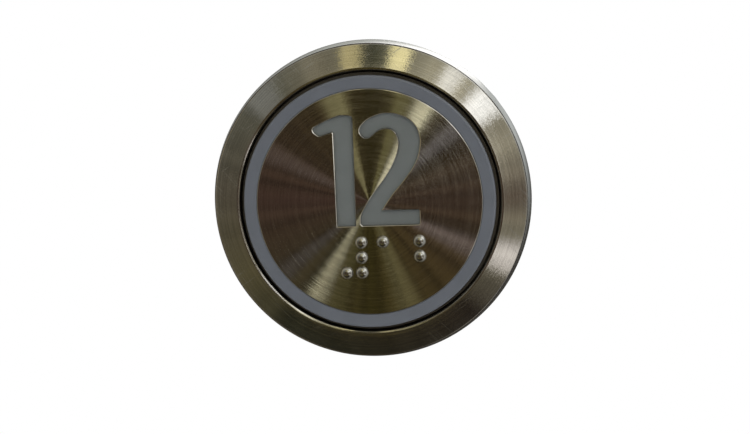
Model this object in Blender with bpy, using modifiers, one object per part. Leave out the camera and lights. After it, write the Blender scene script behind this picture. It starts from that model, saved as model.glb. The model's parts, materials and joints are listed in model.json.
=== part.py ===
"""Round stainless panel push button with a cut-out numeral, braille pins and a halo ring.

Every piece is modelled in the button frame: x to the right, y up, z towards the user, with
z = 0 on the front face of the panel that the button is fitted to. The empty named
button_frame turns that frame so that the button faces -Y, with +Z up.
"""

import math

import bmesh
import bpy
from mathutils import Matrix

MM = 0.001
SET_NAME = "round_push_button"

# Facets round a turned piece, and how near two points are to be one, in metres.
FRONT_STEPS = 72
REAR_STEPS = 48
SMALL_STEPS = 12
SAME_POINT = 0.000002
SAME_AXIS_POINT = 0.000005

# Clearances, in millimetres like every size below, and how far a cutter reaches past a face.
FACE_GAP = 0.05
RUNNING_GAP = 0.3
CUT_PAST = 1.0

# Bezel, a coned ring in front of the panel, and the threaded barrel that is pressed into it.
BEZEL_FRONT_R = 26.0
BEZEL_REAR_R = 26.45
RIM_HEIGHT = 2.9
EDGE_BREAK = 0.14
CONE_TOP_R = 22.0
CONE_TOP_Z = 4.6
LIP_R = 21.55
LIP_CHAMFER = 0.38
SHOULDER_Z = 1.2
BORE_R = 22.5
BARREL_R = 24.0
BARREL_FRONT_Z = 2.3
BARREL_END_Z = -16.0
BARREL_CHAMFER = 0.4
GASKET_GROOVE = (24.6, 25.8, 0.8)
CIRCLIP_GROOVE_R = 23.1
CIRCLIP_GROOVE_Z = (-13.9, -15.1)
KEY_SIZE = (3.0, 2.0, 1.5)
KEY_REACH = 1.0

# Pressel: the piece that the finger pushes, by the travel at most.
TRAVEL = 1.0
HALO_R = 20.8
HALO_FRONT_Z = 5.5
HALO_EDGE = 0.3
LEDGE_R = 21.25
LEDGE_Z = 3.9
PLATE_R = 18.65
PLATE_FRONT_Z = 5.6
PLATE_THICKNESS = 1.0
POCKET_R = 18.75
POCKET_EDGE = 0.1
POCKET_FLOOR_Z = PLATE_FRONT_Z - PLATE_THICKNESS - FACE_GAP
FRONT_WALL = 1.5
SKIRT_INNER_R = 19.4
FLANGE_R = 22.2
FLANGE_FRONT_Z = 0.6
FLANGE_THICKNESS = 1.0
NUMERAL_FRONT_Z = 5.0
NUMERAL_INSET = 0.06

# Braille: the number sign, then the digits one and two.
BRAILLE_DOT_PITCH = 2.5
BRAILLE_CELL_PITCH = 6.06
BRAILLE_LEFT = -4.1
BRAILLE_TOP = -6.68
BRAILLE_CELLS = ((3, 4, 5, 6), (1,), (1, 2))
PIN_DOME_R = 1.04
PIN_DOME_HEIGHT = 0.75
DOME_STEPS = 5
PIN_SHANK_R = 0.6
PIN_HOLE_R = 0.65
PIN_TIP_Z = 3.9
PIN_HOLE_Z = 3.8

# Carrier: the spider behind the diffuser, with the spring posts and the switch actuator.
CARRIER_FRONT_Z = 1.0
CARRIER_THICKNESS = 1.2
CARRIER_OUTER_R = 18.2
CARRIER_INNER_R = 12.6
CARRIER_BOSS_R = 3.2
CARRIER_ARM = 3.0
STATION_R = 15.3
SPRING_ANGLES = (90, 210, 330)
SCREW_ANGLES = (30, 150, 270)
SPRING_POST_R = 1.3
SPRING_POST_Z = -2.3
ACTUATOR_R = 1.6
ACTUATOR_TIP_Z = -2.3
DIFFUSER_BOSS_R = 2.0
CARRIER_SCREW_R = 0.95
CARRIER_SCREW_HOLE_R = 1.1
CARRIER_SCREW_HEAD = (1.9, 1.0)
CARRIER_SCREW_TIP_Z = 2.6

# Return springs.
SPRING_R = 2.0
SPRING_WIRE_R = 0.2
SPRING_TURNS = 4.0
SPRING_POINTS_PER_TURN = 8
SPRING_TOP_Z = -0.55
SPRING_FLOOR_Z = -4.5

# Inner housing: the white light box that holds the springs and screens the lamps.
INNER_WALL_R = (21.2, 22.2)
INNER_TOP_Z = -1.5
INNER_FLOOR_Z = SPRING_FLOOR_Z
INNER_FLOOR = 1.0
INNER_END_Z = -7.15
CUP_R = (2.55, 3.15)
CUP_TOP_Z = -3.2
CASE_SCREW_STATION_R = 13.5
INNER_BOSS_R = 2.2
SWITCH_WINDOW = 7.0
LED_WINDOW = 2.6

# Circuit board, lamps, switch and header.
PCB_R = 22.0
PCB_Z = (-7.2, -8.8)
HALO_LED_R = 19.5
HALO_LED_COUNT = 8
NUMERAL_LED_R = 8.0
NUMERAL_LED_COUNT = 4
LED_SIZE = (2.0, 1.6, 0.75)
LED_BEVEL = 0.2
RESISTOR_SIZE = (2.0, 1.25, 0.5)
RESISTOR_COUNT = 4
RESISTOR_PITCH = 4.0
RESISTOR_ROW_Y = 8.5
SWITCH_SIZE = 6.4
SWITCH_TOP_Z = -3.4
PLUNGER_R = 1.5
PLUNGER_CHAMFER = 0.3
PLUNGER_HOLE_R = 1.6
PLUNGER_Z = (-2.35, -5.0)
PLUNGER_HOLE_Z = PLUNGER_Z[1] - TRAVEL - RUNNING_GAP
HEADER_SIZE = (12.4, 5.8)
HEADER_WALL = 0.8
HEADER_END_Z = -17.4
HEADER_FLOOR_Z = -10.9
HEADER_PIN_COUNT = 4
HEADER_PIN_PITCH = 2.5
HEADER_PIN = 0.64
HEADER_PIN_HOLE = 0.8
HEADER_PIN_TIP_Z = -16.2

# Rear housing, its screws and the circlip that holds them in the barrel.
REAR_WALL_INNER_R = 20.8
REAR_R = 22.2
REAR_TOP_Z = -8.85
REAR_FLOOR_Z = (-12.0, -13.8)
REAR_POST_R = 2.4
CASE_SCREW_R = 1.0
CASE_SCREW_HOLE_R = 1.15
CASE_SCREW_HEAD = (2.0, 1.3)
HEAD_CHAMFER = 0.35
CASE_SCREW_TIP_Z = -5.15
CASE_SCREW_HOLE_Z = -5.0
RECESS_SIZE = (2.2, 0.55, 0.7)
CIRCLIP_R = (21.5, 22.95)
CIRCLIP_Z = (-14.0, -15.0)
CIRCLIP_GAP_AT_DEG = 270.0
CIRCLIP_GAP_DEG = 36.0
CIRCLIP_EAR_REACH = 2.0
CIRCLIP_EAR_DEG = 9.0
CIRCLIP_HOLE_R = 0.6
CIRCLIP_HOLE_STATION_R = 20.7

# Gasket, stop ring, clamp washer and lock nut.
GASKET_R = (24.65, 25.75)
GASKET_HEIGHT = 0.75
STOP_RING_R = (21.55, 22.4)
STOP_RING_Z = (1.15, 0.65)
PANEL_THICKNESS = 2.0
WASHER_R = (24.2, 25.8)
WASHER_THICKNESS = 0.8
NUT_R = (24.15, 26.0)
NUT_THICKNESS = 4.0
NUT_SLOTS = 6
NUT_SLOT_WIDTH = 2.6
NUT_SLOT_DEPTH = 1.0
NUT_CHAMFER = 0.3

# Numeral outlines: (x, y, corner) for each point, where a point that isn't a corner is smooth.
DIGIT_ONE = (
    (-2.42, -4.0, True), (-2.4, 13.5, True), (-2.53, 14.05, False), (-3.05, 14.3, True),
    (-4.5, 14.3, True), (-6.2, 13.72, False), (-8.75, 12.5, True), (-8.95, 12.1, False),
    (-8.2, 11.15, False), (-7.75, 11.0, True), (-5.75, 11.62, True), (-5.6, 11.4, True),
    (-5.45, -4.0, True),
)
DIGIT_TWO = (
    (-1.25, 11.7, False), (-0.55, 12.95, False), (1.35, 14.1, False), (3.3, 14.5, False),
    (5.6, 14.05, False), (7.55, 12.85, False), (8.55, 10.8, False), (8.5, 8.4, False),
    (7.65, 6.0, False), (5.7, 3.3, False), (3.7, 0.95, False), (1.95, -1.5, True),
    (8.05, -1.5, True), (8.22, -1.67, True), (8.22, -3.75, True), (8.0, -3.97, True),
    (-1.25, -3.97, True), (-1.6, -3.64, True), (-1.5, -2.5, False), (-0.75, -0.9, False),
    (0.75, 1.35, False), (2.9, 4.15, False), (4.3, 6.55, False), (5.1, 9.0, False),
    (4.95, 10.7, False), (4.2, 11.7, False), (3.1, 12.0, False), (1.9, 11.7, False),
    (0.85, 10.95, False), (0.0, 10.5, False), (-0.8, 10.8, False),
)
NUMERAL_RESOLUTION = 3


# ---------------------------------------------------------------- scene and materials

def clear_scene():
    """Remove whatever the scene holds, so that only the button is in it."""
    for item in list(bpy.data.objects):
        bpy.data.objects.remove(item, do_unlink=True)


def make_collection(name):
    """Add a collection to the scene and return it."""
    group = bpy.data.collections.new(name)
    bpy.context.scene.collection.children.link(group)
    return group


def make_empty(name, group, parent=None):
    """Add an empty that pieces are parented to."""
    empty = bpy.data.objects.new(name, None)
    empty.empty_display_size = 10.0 * MM
    empty.parent = parent
    group.objects.link(empty)
    return empty


def make_material(name, colour, roughness, metallic=0.0, transmission=0.0):
    """Return a Principled material."""
    mat = bpy.data.materials.new(name)
    mat.use_nodes = True
    mat.diffuse_color = (*colour, 1.0)
    shader = mat.node_tree.nodes["Principled BSDF"]
    shader.inputs["Base Color"].default_value = (*colour, 1.0)
    shader.inputs["Roughness"].default_value = roughness
    shader.inputs["Metallic"].default_value = metallic
    shader.inputs["Transmission Weight"].default_value = transmission
    return mat


# ---------------------------------------------------------------- shape helpers

def polar(radius, degrees):
    """Return the point at a radius and an angle, as (x, y)."""
    angle = math.radians(degrees)
    return radius * math.cos(angle), radius * math.sin(angle)


def arc(radius, start, end, steps, centre=(0.0, 0.0)):
    """Return the points of an arc, both ends included."""
    span = end - start
    points = []
    for step in range(steps + 1):
        x, y = polar(radius, start + span * step / steps)
        points.append((centre[0] + x, centre[1] + y))
    return points


def circle(radius, steps, centre=(0.0, 0.0)):
    """Return the points of a full circle."""
    return arc(radius, 0.0, 360.0, steps, centre)[:-1]


def ring_profile(inner, outer, top, bottom):
    """Return the profile of a plain ring, down its outer side and up its inner side."""
    return [(outer, top), (outer, bottom), (inner, bottom), (inner, top)]


def place(mesh, name, group, parent, mat, smooth_angle=30.0):
    """Put a mesh in the scene as one shaded object."""
    mesh.name = name
    mesh.materials.clear()
    if mat is not None:
        mesh.materials.append(mat)
    mesh.shade_smooth()
    mesh.set_sharp_from_angle(angle=math.radians(smooth_angle))
    item = bpy.data.objects.new(name, mesh)
    item.parent = parent
    group.objects.link(item)
    return item


def evaluated_mesh(item):
    """Return a mesh of an object as its modifiers or its curve settings leave it."""
    bpy.context.view_layer.update()
    graph = bpy.context.evaluated_depsgraph_get()
    return bpy.data.meshes.new_from_object(item.evaluated_get(graph))


def turned(name, profile, steps, at=(0.0, 0.0)):
    """Return the mesh of a turned shape from (radius, z) points, down its outer side first."""
    mesh = bpy.data.meshes.new(name)
    points = [(radius * MM, 0.0, z * MM) for radius, z in profile]
    edges = [(k, k + 1) for k in range(len(points) - 1)]
    touches_axis = profile[0][0] == 0.0 and profile[-1][0] == 0.0
    if not touches_axis:
        edges.append((len(points) - 1, 0))
    mesh.from_pydata(points, edges, [])
    item = bpy.data.objects.new(name, mesh)
    bpy.context.scene.collection.objects.link(item)
    screw = item.modifiers.new("Screw", 'SCREW')
    screw.axis = 'Z'
    screw.angle = 2 * math.pi
    screw.steps = steps
    screw.render_steps = steps
    screw.use_merge_vertices = True
    screw.merge_threshold = SAME_AXIS_POINT
    result = evaluated_mesh(item)
    bpy.data.objects.remove(item, do_unlink=True)
    result.transform(Matrix.Translation((at[0] * MM, at[1] * MM, 0.0)))
    return result


def flat_plate(outlines, bottom, top, inset=0.0):
    """Return the mesh of a flat piece.

    Each outline is a list of (x, y) points, or of (x, y, corner) points for a curved one.
    An outline inside another is a hole.
    """
    curve = bpy.data.curves.new("outline", 'CURVE')
    curve.dimensions = '2D'
    curve.fill_mode = 'BOTH'
    curve.extrude = (top - bottom) / 2 * MM
    curve.offset = -inset * MM
    curve.resolution_u = NUMERAL_RESOLUTION
    for outline in outlines:
        if len(outline[0]) == 3:
            add_curved_spline(curve, outline)
        else:
            add_straight_spline(curve, outline)
    item = bpy.data.objects.new("outline", curve)
    bpy.context.scene.collection.objects.link(item)
    mesh = evaluated_mesh(item)
    bpy.data.objects.remove(item, do_unlink=True)
    mesh.transform(Matrix.Translation((0.0, 0.0, (top + bottom) / 2 * MM)))
    weld(mesh)
    return mesh


def add_straight_spline(curve, outline):
    """Add a closed spline of straight sides."""
    spline = curve.splines.new('POLY')
    spline.points.add(len(outline) - 1)
    for point, (x, y) in zip(spline.points, outline):
        point.co = (x * MM, y * MM, 0.0, 1.0)
    spline.use_cyclic_u = True


def add_curved_spline(curve, outline):
    """Add a closed spline that is smooth except at its corners."""
    spline = curve.splines.new('BEZIER')
    spline.bezier_points.add(len(outline) - 1)
    for point, (x, y, corner) in zip(spline.bezier_points, outline):
        point.co = (x * MM, y * MM, 0.0)
        handle = 'VECTOR' if corner else 'AUTO'
        point.handle_left_type = handle
        point.handle_right_type = handle
    spline.use_cyclic_u = True


def weld(mesh):
    """Join the loose caps and sides that a curve leaves."""
    shell = bmesh.new()
    shell.from_mesh(mesh)
    bmesh.ops.remove_doubles(shell, verts=shell.verts, dist=SAME_POINT)
    bmesh.ops.recalc_face_normals(shell, faces=shell.faces)
    shell.to_mesh(mesh)
    shell.free()


def boxes(name, items):
    """Return one mesh of separate boxes, each given as centre and size."""
    shell = bmesh.new()
    for centre, size in items:
        shift = Matrix.Translation([c * MM for c in centre])
        scale = Matrix.Diagonal([s * MM for s in size] + [1.0])
        bmesh.ops.create_cube(shell, size=1.0, matrix=shift @ scale)
    mesh = bpy.data.meshes.new(name)
    shell.to_mesh(mesh)
    shell.free()
    return mesh


def rods(name, items, steps=SMALL_STEPS):
    """Return one mesh of separate rods along z, each given as (x, y), radius, bottom and top."""
    shell = bmesh.new()
    for (x, y), radius, bottom, top in items:
        shift = Matrix.Translation((x * MM, y * MM, (bottom + top) / 2 * MM))
        bmesh.ops.create_cone(shell, cap_ends=True, segments=steps, radius1=radius * MM,
                              radius2=radius * MM, depth=(top - bottom) * MM, matrix=shift)
    mesh = bpy.data.meshes.new(name)
    shell.to_mesh(mesh)
    shell.free()
    return mesh


def combine(item, mesh, operation, tools, label):
    """Cut a helper shape out of a piece, or join it on."""
    helper = place(mesh, f"{item.name}_{label}", tools, item.parent, None)
    helper.hide_render = True
    helper.display_type = 'WIRE'
    boolean = item.modifiers.new(label, 'BOOLEAN')
    boolean.object = helper
    boolean.operation = operation
    boolean.solver = 'EXACT'


# ---------------------------------------------------------------- bezel group

def make_bezel(parts, frame, mat):
    """Coned front ring: rim, cone, lip, gasket groove, and the annular seat for the barrel."""
    groove_in, groove_out, groove_depth = GASKET_GROOVE
    seat_z = BARREL_FRONT_Z + FACE_GAP
    profile = [
        (CONE_TOP_R, CONE_TOP_Z),
        (BEZEL_FRONT_R - EDGE_BREAK, RIM_HEIGHT + EDGE_BREAK),
        (BEZEL_FRONT_R, RIM_HEIGHT),
        (BEZEL_REAR_R, EDGE_BREAK),
        (BEZEL_REAR_R - EDGE_BREAK, 0.0),
        (groove_out, 0.0),
        (groove_out, groove_depth),
        (groove_in, groove_depth),
        (groove_in, 0.0),
        (BARREL_R + FACE_GAP, 0.0),
        (BARREL_R + FACE_GAP, seat_z),
        (BORE_R - FACE_GAP, seat_z),
        (BORE_R - FACE_GAP, SHOULDER_Z),
        (LIP_R, SHOULDER_Z),
        (LIP_R, CONE_TOP_Z - LIP_CHAMFER),
    ]
    place(turned("bezel", profile, FRONT_STEPS), "bezel", parts, frame, mat)


def make_barrel(parts, tools, frame, mat):
    """Sleeve that passes through the panel, with its locating key and its circlip groove."""
    clip_top, clip_bottom = CIRCLIP_GROOVE_Z
    profile = [
        (BARREL_R, BARREL_FRONT_Z),
        (BARREL_R, BARREL_END_Z + BARREL_CHAMFER),
        (BARREL_R - BARREL_CHAMFER, BARREL_END_Z),
        (BORE_R, BARREL_END_Z),
        (BORE_R, clip_bottom),
        (CIRCLIP_GROOVE_R, clip_bottom),
        (CIRCLIP_GROOVE_R, clip_top),
        (BORE_R, clip_top),
        (BORE_R, BARREL_FRONT_Z),
    ]
    barrel = place(turned("barrel", profile, FRONT_STEPS), "barrel", parts, frame, mat)
    width, depth, length = KEY_SIZE
    key_y = BARREL_R + KEY_REACH - depth / 2
    key = boxes("key", [((0.0, key_y, -FACE_GAP - length / 2), (width, depth, length))])
    combine(barrel, key, 'UNION', tools, "key")


def make_seals(parts, frame, rubber):
    """Panel gasket in the flange groove, and the ring that cushions the pressel's return."""
    gasket = ring_profile(*GASKET_R, GASKET_HEIGHT, 0.0)
    place(turned("panel_gasket", gasket, FRONT_STEPS), "panel_gasket", parts, frame, rubber)
    stop = ring_profile(*STOP_RING_R, *STOP_RING_Z)
    place(turned("stop_ring", stop, FRONT_STEPS), "stop_ring", parts, frame, rubber)


def make_clamp(parts, tools, washer_slide, nut_thread, zinc, steel):
    """Clamp washer and slotted ring nut behind the panel."""
    washer_top = -PANEL_THICKNESS - FACE_GAP
    washer_bottom = washer_top - WASHER_THICKNESS
    washer = ring_profile(*WASHER_R, washer_top, washer_bottom)
    mesh = turned("clamp_washer", washer, REAR_STEPS)
    place(mesh, "clamp_washer", parts, washer_slide, steel)

    top = washer_bottom - FACE_GAP
    bottom = top - NUT_THICKNESS
    inner, outer = NUT_R
    profile = [
        (outer - NUT_CHAMFER, top), (outer, top - NUT_CHAMFER),
        (outer, bottom + NUT_CHAMFER), (outer - NUT_CHAMFER, bottom),
        (inner, bottom), (inner, top),
    ]
    nut = place(turned("lock_nut", profile, REAR_STEPS), "lock_nut", parts, nut_thread, zinc)
    slot_size = (2 * NUT_SLOT_DEPTH, NUT_SLOT_WIDTH, NUT_THICKNESS + 2 * CUT_PAST)
    for number in range(NUT_SLOTS):
        slot = boxes("slot", [((outer, 0.0, (top + bottom) / 2), slot_size)])
        turn = Matrix.Rotation(2 * math.pi * (number + 0.5) / NUT_SLOTS, 4, 'Z')
        slot.transform(turn)
        combine(nut, slot, 'DIFFERENCE', tools, f"slot_{number + 1}")


# ---------------------------------------------------------------- pressel group

def braille_centres():
    """Return the centre of each raised dot, cell by cell and down each column."""
    centres = []
    for cell, dots in enumerate(BRAILLE_CELLS):
        for dot in dots:
            column = (dot - 1) // 3
            row = (dot - 1) % 3
            x = BRAILLE_LEFT + cell * BRAILLE_CELL_PITCH + column * BRAILLE_DOT_PITCH
            centres.append((x, BRAILLE_TOP - row * BRAILLE_DOT_PITCH))
    return centres


def make_face_plate(parts, pressel, mat):
    """Stainless face disc with the numerals and the braille pin holes cut through."""
    outlines = [circle(PLATE_R, FRONT_STEPS), DIGIT_ONE, DIGIT_TWO]
    for centre in braille_centres():
        outlines.append(circle(PIN_HOLE_R, SMALL_STEPS, centre))
    mesh = flat_plate(outlines, PLATE_FRONT_Z - PLATE_THICKNESS, PLATE_FRONT_Z)
    place(mesh, "face_plate", parts, pressel, mat)


def make_braille_pins(parts, pressel, mat):
    """Seven domed pins, each on its own shank through the face plate."""
    base = PLATE_FRONT_Z + FACE_GAP
    for number, centre in enumerate(braille_centres(), start=1):
        profile = []
        for step in range(DOME_STEPS + 1):
            x, y = polar(1.0, 90.0 - 90.0 * step / DOME_STEPS)
            profile.append((0.0 if step == 0 else PIN_DOME_R * x, base + PIN_DOME_HEIGHT * y))
        profile += [(PIN_SHANK_R, base), (PIN_SHANK_R, PIN_TIP_Z), (0.0, PIN_TIP_Z)]
        name = f"braille_pin_{number}"
        place(turned(name, profile, SMALL_STEPS, centre), name, parts, pressel, mat)


def make_diffuser(parts, tools, pressel, mat):
    """Translucent body: halo rim, ledge, plate pocket, numerals, skirt and stop flange."""
    wall_back = POCKET_FLOOR_Z - FRONT_WALL
    flange_back = FLANGE_FRONT_Z - FLANGE_THICKNESS
    profile = [
        (0.0, POCKET_FLOOR_Z),
        (POCKET_R, POCKET_FLOOR_Z),
        (POCKET_R, HALO_FRONT_Z - POCKET_EDGE),
        (POCKET_R + POCKET_EDGE, HALO_FRONT_Z),
        (HALO_R - HALO_EDGE, HALO_FRONT_Z),
        (HALO_R, HALO_FRONT_Z - HALO_EDGE),
        (HALO_R, LEDGE_Z),
        (LEDGE_R, LEDGE_Z),
        (LEDGE_R, FLANGE_FRONT_Z),
        (FLANGE_R, FLANGE_FRONT_Z),
        (FLANGE_R, flange_back),
        (SKIRT_INNER_R, flange_back),
        (SKIRT_INNER_R, wall_back),
        (0.0, wall_back),
    ]
    diffuser = place(turned("diffuser", profile, FRONT_STEPS), "diffuser", parts, pressel, mat)
    for label, digit in (("one", DIGIT_ONE), ("two", DIGIT_TWO)):
        raised = flat_plate([digit], POCKET_FLOOR_Z - FRONT_WALL / 2, NUMERAL_FRONT_Z,
                            NUMERAL_INSET)
        combine(diffuser, raised, 'UNION', tools, label)
    holes = [(centre, PIN_HOLE_R, PIN_HOLE_Z, PLATE_FRONT_Z) for centre in braille_centres()]
    combine(diffuser, rods("pin_holes", holes), 'DIFFERENCE', tools, "pin_holes")

    boss_end = CARRIER_FRONT_Z + FACE_GAP
    spots = [polar(STATION_R, angle) for angle in SCREW_ANGLES]
    bosses = [(spot, DIFFUSER_BOSS_R, boss_end, wall_back + FRONT_WALL / 2) for spot in spots]
    combine(diffuser, rods("bosses", bosses), 'UNION', tools, "bosses")
    hole_top = CARRIER_SCREW_TIP_Z + RUNNING_GAP
    holes = [(spot, CARRIER_SCREW_HOLE_R, boss_end - CUT_PAST, hole_top) for spot in spots]
    combine(diffuser, rods("boss_holes", holes), 'DIFFERENCE', tools, "boss_holes")


def carrier_window(start, end):
    """Return the outline of one opening between two arms of the carrier."""
    points = []
    for radius, first, last in ((CARRIER_INNER_R, start, end), (CARRIER_BOSS_R, end, start)):
        inset = math.degrees(math.asin(CARRIER_ARM / 2 / radius))
        sign = 1 if last > first else -1
        points += arc(radius, first + sign * inset, last - sign * inset, SMALL_STEPS)
    return points


def make_carrier(parts, tools, pressel, mat):
    """Spider with a rim, three arms, the switch actuator and three spring posts."""
    back = CARRIER_FRONT_Z - CARRIER_THICKNESS
    outlines = [circle(CARRIER_OUTER_R, REAR_STEPS)]
    for angle in SPRING_ANGLES:
        outlines.append(carrier_window(angle, angle + 120))
    for angle in SCREW_ANGLES:
        spot = polar(STATION_R, angle)
        outlines.append(circle(CARRIER_SCREW_HOLE_R, SMALL_STEPS, spot))
    carrier = place(flat_plate(outlines, back, CARRIER_FRONT_Z), "carrier", parts, pressel, mat)
    middle = back + CARRIER_THICKNESS / 2
    posts = [((0.0, 0.0), ACTUATOR_R, ACTUATOR_TIP_Z, middle)]
    for angle in SPRING_ANGLES:
        posts.append((polar(STATION_R, angle), SPRING_POST_R, SPRING_POST_Z, middle))
    combine(carrier, rods("posts", posts), 'UNION', tools, "posts")


def make_carrier_screws(parts, pressel, mat):
    """Three small screws that hold the carrier to the diffuser's bosses."""
    head_r, head_height = CARRIER_SCREW_HEAD
    seat = CARRIER_FRONT_Z - CARRIER_THICKNESS - FACE_GAP
    profile = [
        (0.0, CARRIER_SCREW_TIP_Z), (CARRIER_SCREW_R, CARRIER_SCREW_TIP_Z),
        (CARRIER_SCREW_R, seat), (head_r, seat), (head_r, seat - head_height),
        (0.0, seat - head_height),
    ]
    for number, angle in enumerate(SCREW_ANGLES, start=1):
        name = f"carrier_screw_{number}"
        mesh = turned(name, profile, SMALL_STEPS, polar(STATION_R, angle))
        place(mesh, name, parts, pressel, mat)


# ---------------------------------------------------------------- fixed inner group

def make_springs(parts, frame, mat):
    """Three return springs between the inner housing and the carrier."""
    low = SPRING_FLOOR_Z + SPRING_WIRE_R + FACE_GAP
    high = SPRING_TOP_Z - SPRING_WIRE_R + FACE_GAP
    count = int(SPRING_TURNS * SPRING_POINTS_PER_TURN) + 1
    for number, angle in enumerate(SPRING_ANGLES, start=1):
        centre = polar(STATION_R, angle)
        curve = bpy.data.curves.new("wire", 'CURVE')
        curve.dimensions = '3D'
        curve.bevel_depth = SPRING_WIRE_R * MM
        curve.bevel_resolution = 2
        curve.use_fill_caps = True
        spline = curve.splines.new('POLY')
        spline.points.add(count - 1)
        for index, point in enumerate(spline.points):
            x, y = polar(SPRING_R, 360.0 * index / SPRING_POINTS_PER_TURN)
            z = low + (high - low) * index / (count - 1)
            point.co = ((centre[0] + x) * MM, (centre[1] + y) * MM, z * MM, 1.0)
        item = bpy.data.objects.new("wire", curve)
        bpy.context.scene.collection.objects.link(item)
        mesh = evaluated_mesh(item)
        bpy.data.objects.remove(item, do_unlink=True)
        weld(mesh)
        place(mesh, f"return_spring_{number}", parts, frame, mat)


def led_spots():
    """Return the (x, y) of each lamp: the halo ring's, then the numeral's."""
    spots = []
    for count, radius in ((HALO_LED_COUNT, HALO_LED_R), (NUMERAL_LED_COUNT, NUMERAL_LED_R)):
        for number in range(count):
            spots.append(polar(radius, 360.0 * (number + 0.5) / count))
    return spots


def make_inner_housing(parts, tools, frame, mat):
    """White cup with a perforated floor, spring cups and screw bosses."""
    wall_in, wall_out = INNER_WALL_R
    floor_back = INNER_FLOOR_Z - INNER_FLOOR
    wall = [
        (wall_out, INNER_TOP_Z), (wall_out, INNER_END_Z), (wall_in, INNER_END_Z),
        (wall_in, floor_back), (0.0, floor_back),
    ]
    profile = [(0.0, INNER_FLOOR_Z), (wall_in, INNER_FLOOR_Z), (wall_in, INNER_TOP_Z)] + wall
    mesh = turned("inner_housing", profile, REAR_STEPS)
    housing = place(mesh, "inner_housing", parts, frame, mat)

    middle = INNER_FLOOR_Z - INNER_FLOOR / 2
    cups = [(polar(STATION_R, a), CUP_R[1], middle, CUP_TOP_Z) for a in SPRING_ANGLES]
    combine(housing, rods("cups", cups), 'UNION', tools, "cups")
    wells = [(polar(STATION_R, a), CUP_R[0], INNER_FLOOR_Z, CUP_TOP_Z + CUT_PAST)
             for a in SPRING_ANGLES]
    combine(housing, rods("wells", wells), 'DIFFERENCE', tools, "wells")
    spots = [polar(CASE_SCREW_STATION_R, angle) for angle in SCREW_ANGLES]
    bosses = [(spot, INNER_BOSS_R, INNER_END_Z, middle) for spot in spots]
    combine(housing, rods("bosses", bosses), 'UNION', tools, "bosses")
    holes = [(spot, CASE_SCREW_HOLE_R, INNER_END_Z - CUT_PAST, CASE_SCREW_HOLE_Z)
             for spot in spots]
    combine(housing, rods("boss_holes", holes), 'DIFFERENCE', tools, "boss_holes")

    depth = INNER_FLOOR + 2 * CUT_PAST
    windows = [((0.0, 0.0, middle), (SWITCH_WINDOW, SWITCH_WINDOW, depth))]
    for x, y in led_spots():
        windows.append(((x, y, middle), (LED_WINDOW, LED_WINDOW, depth)))
    combine(housing, boxes("windows", windows), 'DIFFERENCE', tools, "windows")


def make_circuit_board(parts, frame, mat):
    """Round board with the three screw holes."""
    outlines = [circle(PCB_R, REAR_STEPS)]
    for angle in SCREW_ANGLES:
        spot = polar(CASE_SCREW_STATION_R, angle)
        outlines.append(circle(CASE_SCREW_HOLE_R, SMALL_STEPS, spot))
    place(flat_plate(outlines, PCB_Z[1], PCB_Z[0]), "circuit_board", parts, frame, mat)


def make_lamps(parts, frame, mat):
    """Surface-mounted lamps on the front of the board."""
    width, height, depth = LED_SIZE
    base = PCB_Z[0] + FACE_GAP
    for index, (x, y) in enumerate(led_spots()):
        if index < HALO_LED_COUNT:
            name = f"halo_lamp_{index + 1}"
        else:
            name = f"numeral_lamp_{index - HALO_LED_COUNT + 1}"
        mesh = boxes(name, [((x, y, base + depth / 2), (width, height, depth))])
        lamp = place(mesh, name, parts, frame, mat)
        bevel = lamp.modifiers.new("Bevel", 'BEVEL')
        bevel.width = LED_BEVEL * MM
        bevel.segments = 1


def make_resistors(parts, frame, mat):
    """Row of chip resistors on the back of the board."""
    width, height, depth = RESISTOR_SIZE
    z = PCB_Z[1] - FACE_GAP - depth / 2
    for number in range(RESISTOR_COUNT):
        name = f"resistor_{number + 1}"
        x = (number - (RESISTOR_COUNT - 1) / 2) * RESISTOR_PITCH
        mesh = boxes(name, [((x, RESISTOR_ROW_Y, z), (width, height, depth))])
        place(mesh, name, parts, frame, mat)


def make_switch(parts, tools, frame, switch_slide, black, red):
    """Microswitch: its case on the board, and the plunger that the carrier pushes."""
    base = PCB_Z[0] + FACE_GAP
    height = SWITCH_TOP_Z - base
    middle = (SWITCH_TOP_Z + base) / 2
    mesh = boxes("microswitch_case", [((0.0, 0.0, middle), (SWITCH_SIZE, SWITCH_SIZE, height))])
    case = place(mesh, "microswitch_case", parts, frame, black)
    hole = rods("well", [((0.0, 0.0), PLUNGER_HOLE_R, PLUNGER_HOLE_Z, SWITCH_TOP_Z + CUT_PAST)])
    combine(case, hole, 'DIFFERENCE', tools, "well")

    top, bottom = PLUNGER_Z
    profile = [
        (0.0, top), (PLUNGER_R - PLUNGER_CHAMFER, top), (PLUNGER_R, top - PLUNGER_CHAMFER),
        (PLUNGER_R, bottom), (0.0, bottom),
    ]
    mesh = turned("microswitch_plunger", profile, SMALL_STEPS)
    place(mesh, "microswitch_plunger", parts, switch_slide, red)


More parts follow.
